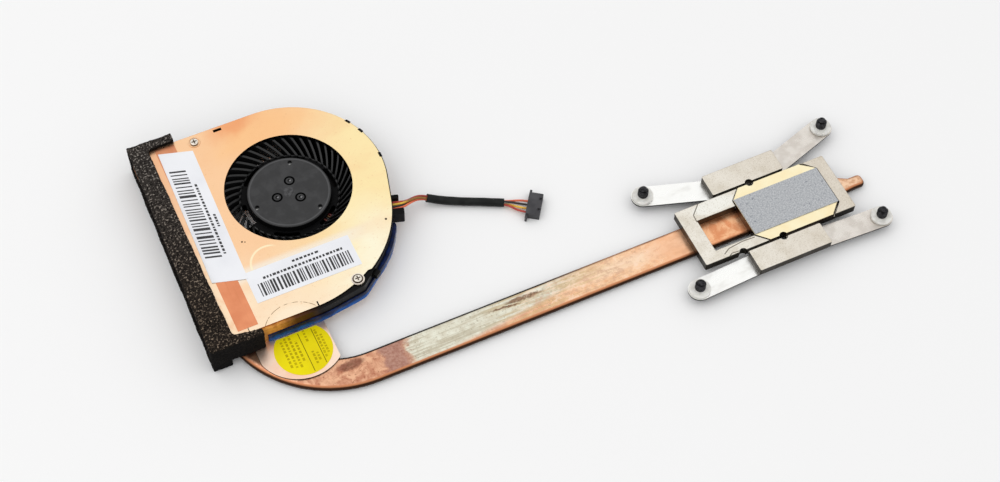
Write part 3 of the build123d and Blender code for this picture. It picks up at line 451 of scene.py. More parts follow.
def pipeCopper(s):
    bsdf, where = startMaterial("pipeCopper", s, 1.0)
    loose = ragged(where, *s["drift"])
    run = splitAxes(loose)["X"]
    corner = vectorCalc("MINIMUM", where, (*s["bend"], 0))
    inward = calc("SUBTRACT", s["bendRadius"], fromPoint(corner, *s["bend"]))   # across, + to the inside
    drawn = grain(stretched(where, s["drawnStretch"]), *s["drawnGrain"])
    paler = mottle(stretched(loose, s["palerStretch"]), *s["paler"])
    base = blendTone(fade(run, *s["palerOver"]), mottle(loose, *s["copper"]), paler)
    # a painted highlight along the top of the run
    base = laid(base, s, "crest", band(inward, *s["crestAcross"]), fade(run, *s["crestFrom"]))
    mauve = both(band(run, *s["mauveRun"]), s["mauveShare"])
    base = blendTone(mauve, base, mottle(where, *s["mauve"]))
    grey = both(fade(run, *s["greyStart"]), fade(run, *s["greyEnd"]))
    base = pipeTarnish(where, base, run, inward, drawn, grey, s)
    base = pipeMarks(where, base, run, grey, s)
    base = tinted(base, run, s, "glow")
    base = blendTone(fade(run, *s["hotOver"]), base, mottle(loose, *s["hot"]))
    base = blendTone(fade(run, *s["tipOver"]), base, mottle(where, *s["tip"]))
    # painted shade: darker copper where the pipe rounds away from the top, near black on its walls
    lean = facing(where)["Z"]
    base = tinted(base, lean, s, "rim")
    base = tinted(base, lean, s, "side")
    under = (fade(inward, *s["shadeAcross"]), fade(run, *s["shadeRun"]), fade(run, *s["shadeEnd"]))
    put(bsdf.inputs["Base Color"], laid(base, s, "shade", *under))
    wear(bsdf, where, s)
    put(bsdf.inputs["Normal"], relief(drawn, *s["relief"]))


def pipeTarnish(where, base, run, inward, drawn, grey, s):
    # grey along the middle, with bare copper growing along its front side, and some gold after it
    steel = tinted(mottle(where, *s["tarnish"]), drawn, s, "line")
    bare = calc("MULTIPLY", calc("SUBTRACT", s["bareFrom"], run), s["bareSlope"])
    covered = fade(calc("ADD", inward, bare), *s["bareOver"])
    base = blendTone(both(grey, covered), base, steel)
    return laid(base, s, "gold", band(run, *s["goldRun"]), fade(drawn, *s["goldDrawn"]))


def pipeMarks(where, base, run, grey, s):
    # burnt and brown marks, rust at the bend, ash on the tarnish, dull and bright streaks after it
    strayed = ragged(where, *s["markDrift"])
    burnt = both(blot(strayed, *s["burntBlot"]), s["burntShare"])
    base = blendTone(burnt, base, mottle(where, *s["burnt"]))
    brown = mottle(where, *s["brown"])
    for place in s["brownBlots"]:
        base = blendTone(both(blot(strayed, *place), s["brownShare"]), base, brown)
    spots = fade(grain(where, *s["rustGrain"]), *s["rustSpots"])
    base = laid(base, s, "rust", band(run, *s["rustRun"]), spots)
    base = laid(base, s, "ash", grey, fade(grain(where, *s["ashGrain"]), *s["ashSpots"]))
    lengthwise = stretched(ragged(where, *s["streakDrift"]), s["streakStretch"])
    streak = grain(lengthwise, *s["streakGrain"])
    for key in ("dull", "bright"):
        base = laid(base, s, key, fade(run, *s["streakFrom"]), fade(streak, *s[key + "Spots"]))
    return base


pipeCopper(pipeSet)

# Contact plate: pale milled copper, with a painted shadow line along the gap at its cut rim and painted shade
# on its sides
plateSet = {
    "roughness": 0.32, "face": (0.12, tone(255, 244, 206), tone(253, 234, 188)),
    "line": tone(30, 24, 20), "lineWide": 0.5,
    "shadowLines": (((10.9, 10.6), (15.1, 7.4), (15.1, -6.8), (11.3, -10.6)),), "side": tone(60, 42, 28),
    "edgeRound": 0.15, "skinStretch": (0.04, 0.7, 0.1), "skinGrain": (6, 2), "relief": fineRelief,
}


def ruled(base, where, s):
    # painted shadow lines through plan points
    for line in s["shadowLines"]:
        for start, end in zip(line, line[1:]):
            base = laid(base, s, "line", stroke(where, start, end, s["lineWide"]))
    return base


def plateCopper(s):
    bsdf, where = startMaterial("plateCopper", s, 1.0)
    base = ruled(mottle(where, *s["face"]), where, s)
    base = blendTone(faceUp(where), s["side"], base)
    dress(bsdf, stretched(where, s["skinStretch"]), base, s, softEdge(where, s["edgeRound"]))


plateCopper(plateSet)

# Base plate: pale copper on the round tab, black inside the blower
tabSet = {
    "roughness": 0.36, "face": (0.08, tone(255, 230, 210), tone(250, 206, 178)),
    "inside": tone(16, 15, 15), "insideReach": (39.5, 38.5), "insideUp": (0.1, 0.6),
    "side": tone(40, 30, 24), "skinGrain": (0.9, 2), "relief": fineRelief,
}


def tabCopper(s):
    bsdf, where = startMaterial("tabCopper", s, 1.0)
    reach = fade(fromPoint(where, *fanAxis), *s["insideReach"])
    upward = fade(facing(where)["Z"], *s["insideUp"])
    base = laid(mottle(where, *s["face"]), s, "inside", reach, upward)
    # painted shade on the walls
    flat = fade(calc("ABSOLUTE", facing(where)["Z"]), *upOver)
    dress(bsdf, where, blendTone(flat, s["side"], base), s)


tabCopper(tabSet)

# Fin stack: folded edges show copper, paler towards the front, and the fins between, on faces that don't look
# up, take painted shade
finSet = {
    "roughness": 0.36, "far": tone(247, 194, 152), "near": tone(255, 228, 194), "nearOver": (92, 34),
    "cloud": tone(244, 186, 142), "cloudGrain": (0.3,), "cloudOver": (0.45, 0.7, 0, 0.5),
    "between": tone(206, 160, 128), "skinGrain": (1.2, 2), "relief": fineRelief,
}


def finCopper(s):
    bsdf, where = startMaterial("finCopper", s, 1.0)
    base = tinted(s["far"], splitAxes(where)["Y"], s, "near")
    base = flecked(base, where, s, "cloud")
    dress(bsdf, where, blendTone(faceUp(where), s["between"], base), s)


finCopper(finSet)

# Plated frame: paler on the side nearer the blower, with painted shadow lines at its steps and painted shade
# on its sides
frameSet = {
    "left": tone(240, 235, 224), "right": tone(222, 213, 199), "rightOver": (-34, 18),
    "cloud": tone(210, 200, 182), "cloudGrain": (0.13, 5, 0.6), "cloudOver": (0.4, 0.7, 0, 0.6),
    "fleck": tone(246, 241, 230), "fleckGrain": (2.6, 3, 0.6), "fleckOver": (0.48, 0.34, 0, 0.4),
    "bright": tone(248, 247, 240), "brightBlot": (-21.5, 8.1, 0, 7.5, 2.6, 0.2), "brightShare": 0.8,
    "speck": tone(182, 170, 150), "speckGrain": (2.4, 3, 0.6), "speckOver": (0.52, 0.68, 0, 0.45),
    "line": tone(112, 104, 92), "lineWide": 0.3,
    "shadowLines": (((-25.8, 10.6), (-29.1, 7.4), (-29.3, 4.6)),
              ((-27.2, -9.4), (-25.0, -8.1), (-20.0, -7.5), (-15.6, -7.7)),
              ((-26.0, -10.6), (-24.9, -10.0), (-22.4, -10.2))),
    "side": tone(58, 53, 46), "roughGrain": (0.26,), "roughOver": (0.3, 0.75, 0.34, 0.50),
    "edgeRound": 0.25, "skinGrain": (1.4, 3), "relief": (0.16, 0.03),
}


def frameNickel(s):
    bsdf, where = startMaterial("frameNickel", s, 1.0)
    base = tinted(s["left"], splitAxes(where)["X"], s, "right")
    base = flecked(base, where, s, "cloud")
    base = flecked(base, where, s, "fleck")
    base = laid(base, s, "bright", blot(where, *s["brightBlot"]))
    base = ruled(flecked(base, where, s, "speck"), where, s)
    wear(bsdf, where, s)
    dress(bsdf, where, blendTone(faceUp(where), s["side"], base), s, softEdge(where, s["edgeRound"]))


frameNickel(frameSet)

# Sprung arms: bright on the left, duller and stained on the right
springSet = {
    "left": tone(253, 253, 250), "right": tone(226, 220, 212), "rightOver": (-24, 14),
    "wipe": tone(216, 213, 207), "wipeStretch": (0.05, 0.12, 0.06), "wipeGrain": (3, 3),
    "wipeOver": (0.5, 0.75, 0, 0.35),
    "stain": tone(202, 194, 185), "stainGrain": (0.22, 3, 0.5), "stainSpots": (0.42, 0.60), "stainShare": 0.6,
    "side": tone(58, 58, 58), "roughOver": (0.3, 0.7, 0.24, 0.36), "skinGrain": (1.1, 2),
    "relief": (0.05, 0.02),
}


def springSteel(s):
    bsdf, where = startMaterial("springSteel", s, 1.0)
    wipe = grain(stretched(where, s["wipeStretch"]), *s["wipeGrain"])
    right = fade(splitAxes(where)["X"], *s["rightOver"])
    base = tinted(blendTone(right, s["left"], s["right"]), wipe, s, "wipe")
    base = laid(base, s, "stain", right, fade(grain(where, *s["stainGrain"]), *s["stainSpots"]))
    put(bsdf.inputs["Roughness"], fade(wipe, *s["roughOver"]))
    # painted shade on the side faces
    dress(bsdf, where, blendTone(faceUp(where), s["side"], base), s)


springSteel(springSet)

# Cover screws: painted shade in the cross recess and round the foot of the head
crossHeadSet = {
    "roughness": 0.28, "head": (0.9, tone(244, 238, 228), tone(222, 212, 196)),
    "recessShade": tone(96, 84, 74), "recessShadeOver": (4.40, 4.31), "skinGrain": (2.0,), "relief": (0.08, 0.02),
}


def coverScrew(s):
    bsdf, where = startMaterial("coverScrew", s, 1.0)
    dress(bsdf, where, tinted(mottle(where, *s["head"]), splitAxes(where)["Z"], s, "recessShade"), s)


coverScrew(crossHeadSet)

# Plain metals of the screws, the motor and the plug
metalSet = {
    "screwBlack": {"roughness": 0.28, "mottle": (1.4, tone(66, 66, 68), tone(30, 30, 32))},
    "motorSteel": {"roughness": 0.45, "mottle": (0.5, tone(104, 104, 106), tone(84, 84, 86))},
    "bronze": {"roughness": 0.45, "mottle": (0.5, tone(196, 154, 98), tone(164, 122, 72))},
    "windingCopper": {"roughness": 0.4, "mottle": (2.6, tone(120, 58, 38), tone(78, 34, 22))},
    "contactTin": {"roughness": 0.3, "mottle": (0.5, tone(222, 222, 220), tone(196, 196, 196))},
}


def plainMetal(name, s):
    bsdf, where = startMaterial(name, s, 1.0)
    put(bsdf.inputs["Base Color"], mottle(where, *s["mottle"]))
    put(bsdf.inputs["Normal"], relief(grain(where, s["mottle"][0]), *fineRelief))


# Moulded plastics and inks, with broad patches, some wear and a fine skin
plasticSet = {
    "magnetDark": {"tones": (tone(58, 57, 56), tone(76, 75, 74)), "wornTo": (0.44, 0.58)},
    "boardGreen": {"tones": (tone(14, 44, 28), tone(20, 56, 34)), "wornTo": (0.34, 0.48), "gloss": 0.3},
    "bearingBlack": {"tones": (tone(22, 21, 21), tone(32, 31, 30)), "wornTo": (0.26, 0.40)},
    "plugGrey": {"tones": (tone(55, 54, 57), tone(74, 73, 76)), "wornTo": (0.36, 0.50), "gloss": 0.3},
    "inkBlack": {"tones": (tone(40, 40, 42), tone(60, 60, 62)), "wornTo": (0.54, 0.68)},
    "inkOlive": {"tones": (tone(96, 84, 6), tone(120, 106, 8)), "wornTo": (0.54, 0.68), "gloss": 0.1},
    "inkFaint": {"tones": (tone(186, 166, 4), tone(206, 188, 4)), "wornTo": (0.54, 0.68), "gloss": 0.1},
}
mouldSet = {"patchScale": 0.2, "patchOver": (0.4, 0.75), "wornGrain": (0.32, 3), "wornOver": (0.3, 0.7),
            "skinGrain": (1.6, 3), "relief": (0.25, 0.02)}


def mouldedPlastic(name, look):
    s = {**mouldSet, **look}
    bsdf, where = startMaterial(name, s)
    worn = fade(grain(where, *s["wornGrain"]), *s["wornOver"], *s["wornTo"])
    put(bsdf.inputs["Roughness"], worn)
    dress(bsdf, where, mottle(where, s["patchScale"], *s["tones"], *s["patchOver"]), s)


# Blower housing: black wall, with a painted reflection of the copper cover above, brown and gold, on its
# front at the outlet end
housingSet = {
    "roughness": 0.30, "gloss": 0.08, "black": (0.2, tone(10, 9, 9), tone(20, 18, 18)),
    "frontOver": (24.8, 24.2), "brown": tone(86, 50, 24), "brownFrom": (-147, -158),
    "gold": (0.6, tone(222, 156, 74), tone(176, 112, 48)), "goldFrom": (-156, -163),
    "skinGrain": (1.6, 3), "relief": (0.2, 0.02),
}


def housingBlack(s):
    bsdf, where = startMaterial("housingBlack", s)
    axes = splitAxes(where)
    front = fade(axes["Y"], *s["frontOver"])
    base = laid(mottle(where, *s["black"]), s, "brown", front, fade(axes["X"], *s["brownFrom"]))
    gold = both(front, fade(axes["X"], *s["goldFrom"]))
    dress(bsdf, where, blendTone(gold, base, mottle(where, *s["gold"])), s)


housingBlack(housingSet)

# Impeller: grey hub with three ringed marks and three dimples, black ring and blades
hubSet = {
    "face": (0.26, tone(44, 44, 45), tone(56, 56, 57), 0.4, 0.7), "hubOver": (13.1, 12.8),
    "blade": tone(17, 17, 18), "gapBand": (13.2, 15.4, 0.2),
    "dent": tone(92, 92, 94), "dentReach": (2.2, 1.4), "dentGrain": (0.9,), "dentSpots": (0.4, 0.6),
    "dentShare": 0.5,
    "rim": tone(96, 96, 98), "rimBand": (12.3, 12.7, 0.15), "rimShare": 0.5,
    "headings": (67.0, 187.0, 307.0), "markPlace": 4.2, "dotPlace": 11.3,
    "ring": tone(4, 4, 5), "ringBand": (1.12, 1.74, 0.08), "eye": tone(6, 6, 7), "eyeOver": (0.68, 0.56),
    "eyeGlint": tone(138, 138, 140), "eyeGlintBlot": (0.28, 0.1, 0, 0.3, 0.3),
    "dot": tone(5, 5, 6), "dotOver": (0.82, 0.72),
    "dotGlint": tone(140, 140, 138), "dotGlintBlot": (-0.2, -0.6, 27, 0.5, 0.26),
    "shineOver": (0, 1, 0.52, 0.32), "dullOver": (0, 1, 1, 0.06),
    "roughGrain": (0.3,), "roughOver": (0.3, 0.75, 0.32, 0.46), "skinGrain": (2.2, 2), "relief": (0.12, 0.02),
}


def glinted(base, where, centre, s, key):
    # a small bright spot beside a mark
    asideX, asideY, *oval = s[key + "Blot"]
    return laid(base, s, key, blot(where, centre.x + asideX, centre.y + asideY, *oval))


def impellerPlastic(s):
    bsdf, where = startMaterial("impellerPlastic", s)
    away = fromPoint(where, *fanAxis)
    hub = fade(away, *s["hubOver"])
    spots = fade(grain(where, *s["dentGrain"]), *s["dentSpots"])
    face = laid(mottle(where, *s["face"]), s, "dent", fade(away, *s["dentReach"]), spots)
    # a painted highlight round the edge of the hub
    face = laid(face, s, "rim", band(away, *s["rimBand"]))
    dull = band(away, *s["gapBand"])
    # each mark: painted shade in its groove ring, its eye and its dimple, each with a painted highlight
    # beside it
    for heading in s["headings"]:
        turn = math.radians(heading)
        out = Vector((math.cos(turn), math.sin(turn)))
        mark = Vector(fanAxis) + out * s["markPlace"]
        fromMark = fromPoint(where, *mark)
        ring = band(fromMark, *s["ringBand"])
        dull = calc("MAXIMUM", dull, ring)
        face = laid(face, s, "ring", ring)
        face = tinted(face, fromMark, s, "eye")
        face = glinted(face, where, mark, s, "eyeGlint")
        dot = Vector(fanAxis) + out * s["dotPlace"]
        face = tinted(face, fromPoint(where, *dot), s, "dot")
        face = glinted(face, where, dot, s, "dotGlint")
    shine = both(fade(hub, *s["shineOver"]), fade(dull, *s["dullOver"]))
    put(bsdf.inputs["Specular IOR Level"], shine)
    wear(bsdf, where, s)
    dress(bsdf, where, blendTone(hub, s["blade"], face), s)


impellerPlastic(hubSet)

# Nylon washers and thrust disc
nylonSet = {
    "roughness": 0.30, "milky": (0.5, tone(238, 237, 232), tone(216, 214, 208)), "depth": 0.3,
    "depthRadius": (0.6, 0.6, 0.55), "skinGrain": (0.9, 2), "relief": (0.1, 0.02),
}


def milkyNylon(s):
    bsdf, where = startMaterial("milkyNylon", s)
    put(bsdf.inputs["Subsurface Weight"], s["depth"])
    put(bsdf.inputs["Subsurface Radius"], [reach * mm for reach in s["depthRadius"]])
    dress(bsdf, where, mottle(where, *s["milky"]), s)


milkyNylon(nylonSet)

# Labels and sticker
paperSet = {
    "labelWhite": {"tones": (tone(241, 242, 246), tone(232, 233, 238))},
    "stickerYellow": {"tones": (tone(244, 228, 0), tone(232, 212, 0)), "gloss": 0.15},
}
sheetSet = {"roughness": 0.44, "scale": 0.06, "detail": 3, "skinGrain": (3.0, 3), "relief": (0.12, 0.01)}


def labelPaper(name, look):
    s = {**sheetSet, **look}
    bsdf, where = startMaterial(name, s)
    dress(bsdf, where, mottle(where, s["scale"], *s["tones"], detail=s["detail"]), s)


# Thermal pad: grey, finely speckled, with pale scuffs and dark pits
padSet = {
    "roughness": 0.55, "grey": (2.2, tone(191, 193, 195), tone(158, 161, 166), 0.36, 0.64, 3),
    "scuff": tone(202, 204, 208), "scuffStretch": ((0.5, 1.6, 1), 40), "scuffGrain": (0.9, 5, 0.7),
    "scuffOver": (0.58, 0.68), "scuffShare": 0.7,
    "pit": tone(118, 122, 132), "pitGrain": (0.9, 3), "pitOver": (0.62, 0.70, 0, 0.8),
    "skinGrain": (1.4,), "relief": (0.35, 0.05),
}


def padGrey(s):
    bsdf, where = startMaterial("padGrey", s)
    base = flecked(mottle(where, *s["grey"]), stretched(where, *s["scuffStretch"]), s, "scuff")
    dress(bsdf, where, flecked(base, where, s, "pit"), s)


padGrey(padSet)

# Foam skin: open on top, greyer at the far end, with painted shade on its sides and on the low strip, which
# is nearly black
foamTones = {
    "roughness": 0.95, "gloss": 0.1, "farOver": (26, 96),
    "skinNear": tone(36, 30, 25), "skinFar": tone(50, 46, 43),
    "pore": tone(10, 9, 8), "poreScale": 1.7, "poreOver": (0.20, 0.55),
    "crumbNear": tone(132, 116, 100), "crumbFar": tone(140, 133, 126), "crumbGrain": (1.5, 3, 0.65),
    "crumbOver": (0.54, 0.66),
    "cut": (2.0, tone(9, 8, 8), tone(26, 23, 21)), "cutOver": (0.1, 0.55),
    "low": tone(12, 11, 11), "lowOver": (-2.6, -3.2), "lowShare": 0.85, "relief": (0.8, 0.2),
}


def foamBlack(s):
    bsdf, where = startMaterial("foamBlack", s)
    axes = splitAxes(where)
    far = fade(axes["Y"], *s["farOver"])
    pore = cells(where, s["poreScale"])
    skin = blendTone(far, s["skinNear"], s["skinFar"])
    base = blendTone(fade(pore, *s["poreOver"]), s["pore"], skin)
    crumb = fade(grain(where, *s["crumbGrain"]), *s["crumbOver"])
    base = blendTone(crumb, base, blendTone(far, s["crumbNear"], s["crumbFar"]))
    # painted shade: dark on faces that don't look up, nearly black on the low strip
    base = blendTone(fade(facing(where)["Z"], *s["cutOver"]), mottle(where, *s["cut"]), base)
    put(bsdf.inputs["Base Color"], tinted(base, axes["Z"], s, "low"))
    put(bsdf.inputs["Normal"], relief(pore, *s["relief"]))


foamBlack(foamTones)

# Blue film: glossy, deep blue above, with a painted highlight along its lower edge
filmTones = {
    "roughness": 0.25, "gloss": 0.12, "drift": (0.35, 2.4),
    "deep": tone(7, 17, 48), "lit": tone(14, 96, 182), "litOver": (-0.4, -2.8),
    "fold": tone(16, 44, 104), "foldGrain": (0.22,), "foldOver": (0.45, 0.68, 0, 0.75),
    "skinGrain": (0.7, 3), "relief": (0.3, 0.05),
}


def filmBlue(s):
    bsdf, where = startMaterial("filmBlue", s)
    base = tinted(s["deep"], splitAxes(ragged(where, *s["drift"]))["Z"], s, "lit")
    dress(bsdf, where, flecked(base, where, s, "fold"), s)


filmBlue(filmTones)

# Wires and the leads inside the blower, two wires with painted shadow where they bunch before the sleeve
wireSet = {
    "wireRed": {"tones": (tone(190, 66, 54), tone(150, 40, 34)), "bunchShadowShare": 0.2},
    "wireYellow": {"tones": (tone(240, 196, 66), tone(214, 160, 40)), "bunchShadowShare": 0.75},
    "wireBlack": {"tones": (tone(34, 30, 30), tone(22, 20, 20))},
    "wireOrange": {"tones": (tone(232, 116, 78), tone(206, 84, 52))},
    # the leads inside the blower are darker copies of the wire colours: painted shade
    "leadRed": {"tones": (tone(104, 30, 30), tone(84, 22, 24))},
    "leadYellow": {"tones": (tone(112, 78, 30), tone(92, 60, 22))},
    "leadOrange": {"tones": (tone(112, 50, 36), tone(92, 38, 28))},
}
skinSet = {"roughness": 0.36, "scale": 0.4, "detail": 3, "bunchShadow": tone(92, 34, 28),
           "bunchRun": (-109, -98, 1.5), "skinGrain": (1.5, 2), "relief": (0.1, 0.02)}


def wireSkin(name, look):
    s = {**skinSet, **look}
    bsdf, where = startMaterial(name, s)
    base = mottle(where, s["scale"], *s["tones"], detail=s["detail"])
    # painted shadow where the wires bunch
    if "bunchShadowShare" in s:
        base = laid(base, s, "bunchShadow", band(splitAxes(where)["X"], *s["bunchRun"]))
    dress(bsdf, where, base, s)


# Sleeve over the wires
sleeveTones = {"roughness": 0.42, "gloss": 0.2, "black": (0.35, tone(10, 12, 11), tone(26, 28, 27), 0.4, 0.7),
               "skinGrain": (0.6, 3), "relief": (0.3, 0.06)}


def shrinkSleeve(s):
    bsdf, where = startMaterial("shrinkSleeve", s)
    dress(bsdf, where, mottle(where, *s["black"]), s)


shrinkSleeve(sleeveTones)

for makeFinish, looks in ((plainMetal, metalSet), (mouldedPlastic, plasticSet), (labelPaper, paperSet),
                          (wireSkin, wireSet)):
    for name, look in looks.items():
        makeFinish(name, look)

# The material that each node of the frame takes
nodeFinish = {
    "heat_pipe": "pipeCopper", "fin_stack": "finCopper", "base_plate": "tabCopper",
    "fan_housing": "housingBlack", "fan_cover": "coverCopper", "cover_screws": "coverScrew",
    "seam_tape": "tapeCopper", "long_label": "labelWhite", "short_label": "labelWhite",
    "round_sticker": "stickerYellow", "impeller": "impellerPlastic",
    "rotor_yoke": "motorSteel", "rotor_magnet": "magnetDark", "rotor_shaft": "motorSteel",
    "bearing_tube": "bearingBlack", "bearing_bush": "bronze", "thrust_disc": "milkyNylon",
    "motor_board": "boardGreen", "stator_core": "motorSteel", "stator_coils": "windingCopper",
    "contact_plate": "plateCopper", "thermal_pad": "padGrey", "mount_frame": "frameNickel",
    "upper_spring": "springSteel", "lower_spring": "springSteel", "connector_housing": "plugGrey",
    "connector_contacts": "contactTin", "lead_red": "leadRed", "lead_yellow": "leadYellow",
    "lead_black": "wireBlack", "lead_orange": "leadOrange",
}
screwNumbers = range(1, 5)
for number in screwNumbers:
    nodeFinish[f"captive_screw_{number}"] = "screwBlack"
    nodeFinish[f"screw_washer_{number}"] = "milkyNylon"
for name, finish in nodeFinish.items():
    nodes[name].data.materials.clear()
    nodes[name].data.materials.append(finishes[finish])
print("materials on", len(nodeFinish), "nodes")

# Helpers for the pieces that are made anew
mergeWithin = 1e-6        # metres: points nearer than this become one


def settle(obj, body, slot, *stoodFor):
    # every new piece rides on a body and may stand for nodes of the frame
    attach(obj, body)
    if stoodFor:
        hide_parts(*stoodFor)


def evaluatedMesh(obj):
    return bpy.data.meshes.new_from_object(obj.evaluated_get(bpy.context.evaluated_depsgraph_get()))


def takeShape(obj):
    # the evaluated shape of a helper object, which is then removed
    mesh = evaluatedMesh(obj)
    bpy.data.objects.remove(obj)
    bm = bmesh.new()
    bm.from_mesh(mesh)
    bpy.data.meshes.remove(mesh)
    return bm


# Fan lead: four wires beside one route, flat at both ends and twisted between, and a sleeve over them
leadSet = {
    "diameter": 0.7, "pitch": 0.82, "pinPitch": 1.4, "flatPoints": 2, "packRadius": 0.58, "packTwist": 36.0,
    "route": [(-113.660, 48.890, 0.9), (-111.174, 48.130, 0.9), (-108.1, 49.5, -1.2), (-103.6, 51.1, -3.0),
              (-98.5, 48.5, -4.6), (-92.9, 45.7, -5.05), (-86.3, 42.5, -5.05), (-78.5, 38.5, -5.05),
              (-75.685, 36.166, -5.05), (-72.907, 34.206, -5.05)],
    "wires": [("red", 1.5, 0), ("yellow", 0.5, 90), ("black", -0.5, -90), ("orange", -1.5, 180)],
    "steps": 8, "rounding": 4,
    "sleeveDiameter": 2.8, "sleeveWall": 0.225, "sleeveSpan": (4, 7), "sleeveStart": 0.4, "sleeveEnd": 0.86,
    "sleeveSteps": 16, "sleeveRounding": 6, "lump": 0.07, "lumpScale": 420, "lumpShift": 0.35,
}


def lanePoints(s, side, angle):
    route = [Vector(point) for point in s["route"]]
    flat = s["flatPoints"]
    shifts = [(side * s["pitch"], 0)] * flat
    for step in range(len(route) - 2 * flat):
        turn = math.radians(angle + step * s["packTwist"])
        shifts.append((s["packRadius"] * math.cos(turn), s["packRadius"] * math.sin(turn)))
    shifts += [(-side * s["pinPitch"], 0)] * flat
    points = []
    for index, (aside, lift) in enumerate(shifts):
        heading = route[min(index + 1, len(route) - 1)] - route[max(index - 1, 0)]
        left = Vector((-heading.y, heading.x, 0)).normalized()
        points.append((route[index] + left * aside + Vector((0, 0, lift))) * mm)
    return points


def nurbsLine(name, points, radius, steps, rounding):
    curve = bpy.data.curves.new(name, "CURVE")
    curve.dimensions = "3D"
    curve.resolution_u = steps
    curve.bevel_depth = 1.0        # each point's radius gives the size
    curve.bevel_resolution = rounding
    curve.use_fill_caps = True
    spline = curve.splines.new("NURBS")
    spline.points.add(len(points) - 1)
    for spot, point in zip(spline.points, points):
        spot.co = (*point, 1.0)
        spot.radius = radius
    spline.order_u = 3
    spline.use_endpoint_u = True
    obj = bpy.data.objects.new(name, curve)
    scene.collection.objects.link(obj)
    return obj


def lineLength(obj):
    depth = obj.data.bevel_depth
    obj.data.bevel_depth = 0.0
    mesh = evaluatedMesh(obj)
    spots = [vert.co for vert in mesh.vertices]
    total = sum((spots[edge.vertices[0]] - spots[edge.vertices[1]]).length for edge in mesh.edges)
    bpy.data.meshes.remove(mesh)
    obj.data.bevel_depth = depth
    return total


def makeSleeve(s):
    route = [Vector(point) * mm for point in s["route"]]
    first, last = s["sleeveSpan"]
    start = route[first - 1].lerp(route[first], s["sleeveStart"])
    end = route[last - 1].lerp(route[last], s["sleeveEnd"])
    guide = nurbsLine("sleeveGuide", [start, *route[first:last], end], s["sleeveDiameter"] / 2 * mm,
                      s["sleeveSteps"], s["sleeveRounding"])
    guide.data.use_fill_caps = False
    bm = takeShape(guide)
    bmesh.ops.remove_doubles(bm, verts=bm.verts, dist=mergeWithin)
    bmesh.ops.recalc_face_normals(bm, faces=bm.faces)
    for vert in bm.verts:
        uneven = noise.noise(vert.co * s["lumpScale"]) - s["lumpShift"]
        vert.co += vert.normal * s["lump"] * mm * uneven
    bmesh.ops.solidify(bm, geom=bm.faces, thickness=s["sleeveWall"] * mm)
    sleeve = meshPiece(bm, "wireSleeve", True)
    sleeve.data.materials.append(finishes["shrinkSleeve"])
    settle(sleeve, "heatsink", "sleeve_black", "wire_sleeve")
    return sleeve


def layWires(s, sleeve):
    for colour, side, angle in s["wires"]:
        name = "wire" + colour.capitalize()
        points = lanePoints(s, side, angle)
        wire = nurbsLine(name, points, s["diameter"] / 2 * mm, s["steps"], s["rounding"])
        wire.data.materials.append(finishes[name])
        settle(wire, "heatsink", "wire_" + colour, "wire_" + colour)
        lineLength(wire)


layWires(leadSet, makeSleeve(leadSet))
print("lead wires and sleeve laid")


def remeshed(node, name, voxel):
    # an even skin of small faces over a closed solid of the frame
    bm = bmesh.new()
    bm.from_mesh(nodes[node].data)
    bmesh.ops.remove_doubles(bm, verts=bm.verts, dist=mergeWithin)
    rough = meshPiece(bm, name + "Rough")
    mod = rough.modifiers.new("skin", "REMESH")
    mod.mode = "VOXEL"
    mod.voxel_size = voxel
    return takeShape(rough)


def soften(bm, passes, strength=0.5):
    for _ in range(passes):
        bmesh.ops.smooth_vert(bm, verts=bm.verts, factor=strength, use_axis_x=True, use_axis_y=True,
                              use_axis_z=True)
    bm.normal_update()


# Foam gasket: soft cut edges and an open, crumbly skin
foamSet = {"voxel": 0.42, "softPasses": 3, "lump": 0.22, "lumpScale": 160, "pore": 0.16, "poreScale": 1300}


def makeFoam(s):
    bm = remeshed("foam_gasket", "foam", s["voxel"] * mm)
    soften(bm, s["softPasses"])
    for vert in bm.verts:
        lump = noise.noise(vert.co * s["lumpScale"]) * s["lump"]
        pore = noise.noise(vert.co * s["poreScale"]) * s["pore"]
        vert.co += vert.normal * (lump + pore - s["lump"] / 2) * mm
    foam = meshPiece(bm, "foamGasket", True)
    foam.data.materials.append(finishes["foamBlack"])
    settle(foam, "heatsink", "foam_black", "foam_gasket")


makeFoam(foamSet)

# Blue film: a thin strip with small creases, standing off at its lower edge and loose at its right end
filmSet = {"voxel": 0.16, "softPasses": 1, "crease": 0.16, "creaseScale": 260, "flare": 0.11,
           "looseFrom": -132.0, "looseOver": 8.0, "bulge": 0.7}


def makeFilm(s):
    bm = remeshed("blue_film", "film", s["voxel"] * mm)
    low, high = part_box("blue_film")
    soften(bm, s["softPasses"])
    for vert in bm.verts:
        outward = Vector((vert.normal.x, vert.normal.y, 0))
        drop = (high.z - vert.co.z) / (high.z - low.z)
        loose = min(1.0, max(0.0, (vert.co.x / mm - s["looseFrom"]) / s["looseOver"]))
        crease = noise.noise(vert.co * s["creaseScale"]) * s["crease"]
        push = crease + drop * s["flare"] + loose * s["bulge"]
        vert.co += outward * max(0.0, push) * mm
    film = meshPiece(bm, "blueFilm", True)
    film.data.materials.append(finishes["filmBlue"])
    settle(film, "heatsink", "film_blue", "blue_film")


makeFilm(filmSet)
print("foam and film made")

# Ink for labels and sticker: plain bars and dashes, no words
inkSet = {"height": 0.02, "barWidths": (0.22, 0.22, 0.32, 0.5), "barGaps": (0.24, 0.3, 0.42, 0.5),
          "dashLengths": (0.5, 1.1), "dashGaps": (0.3, 0.5)}


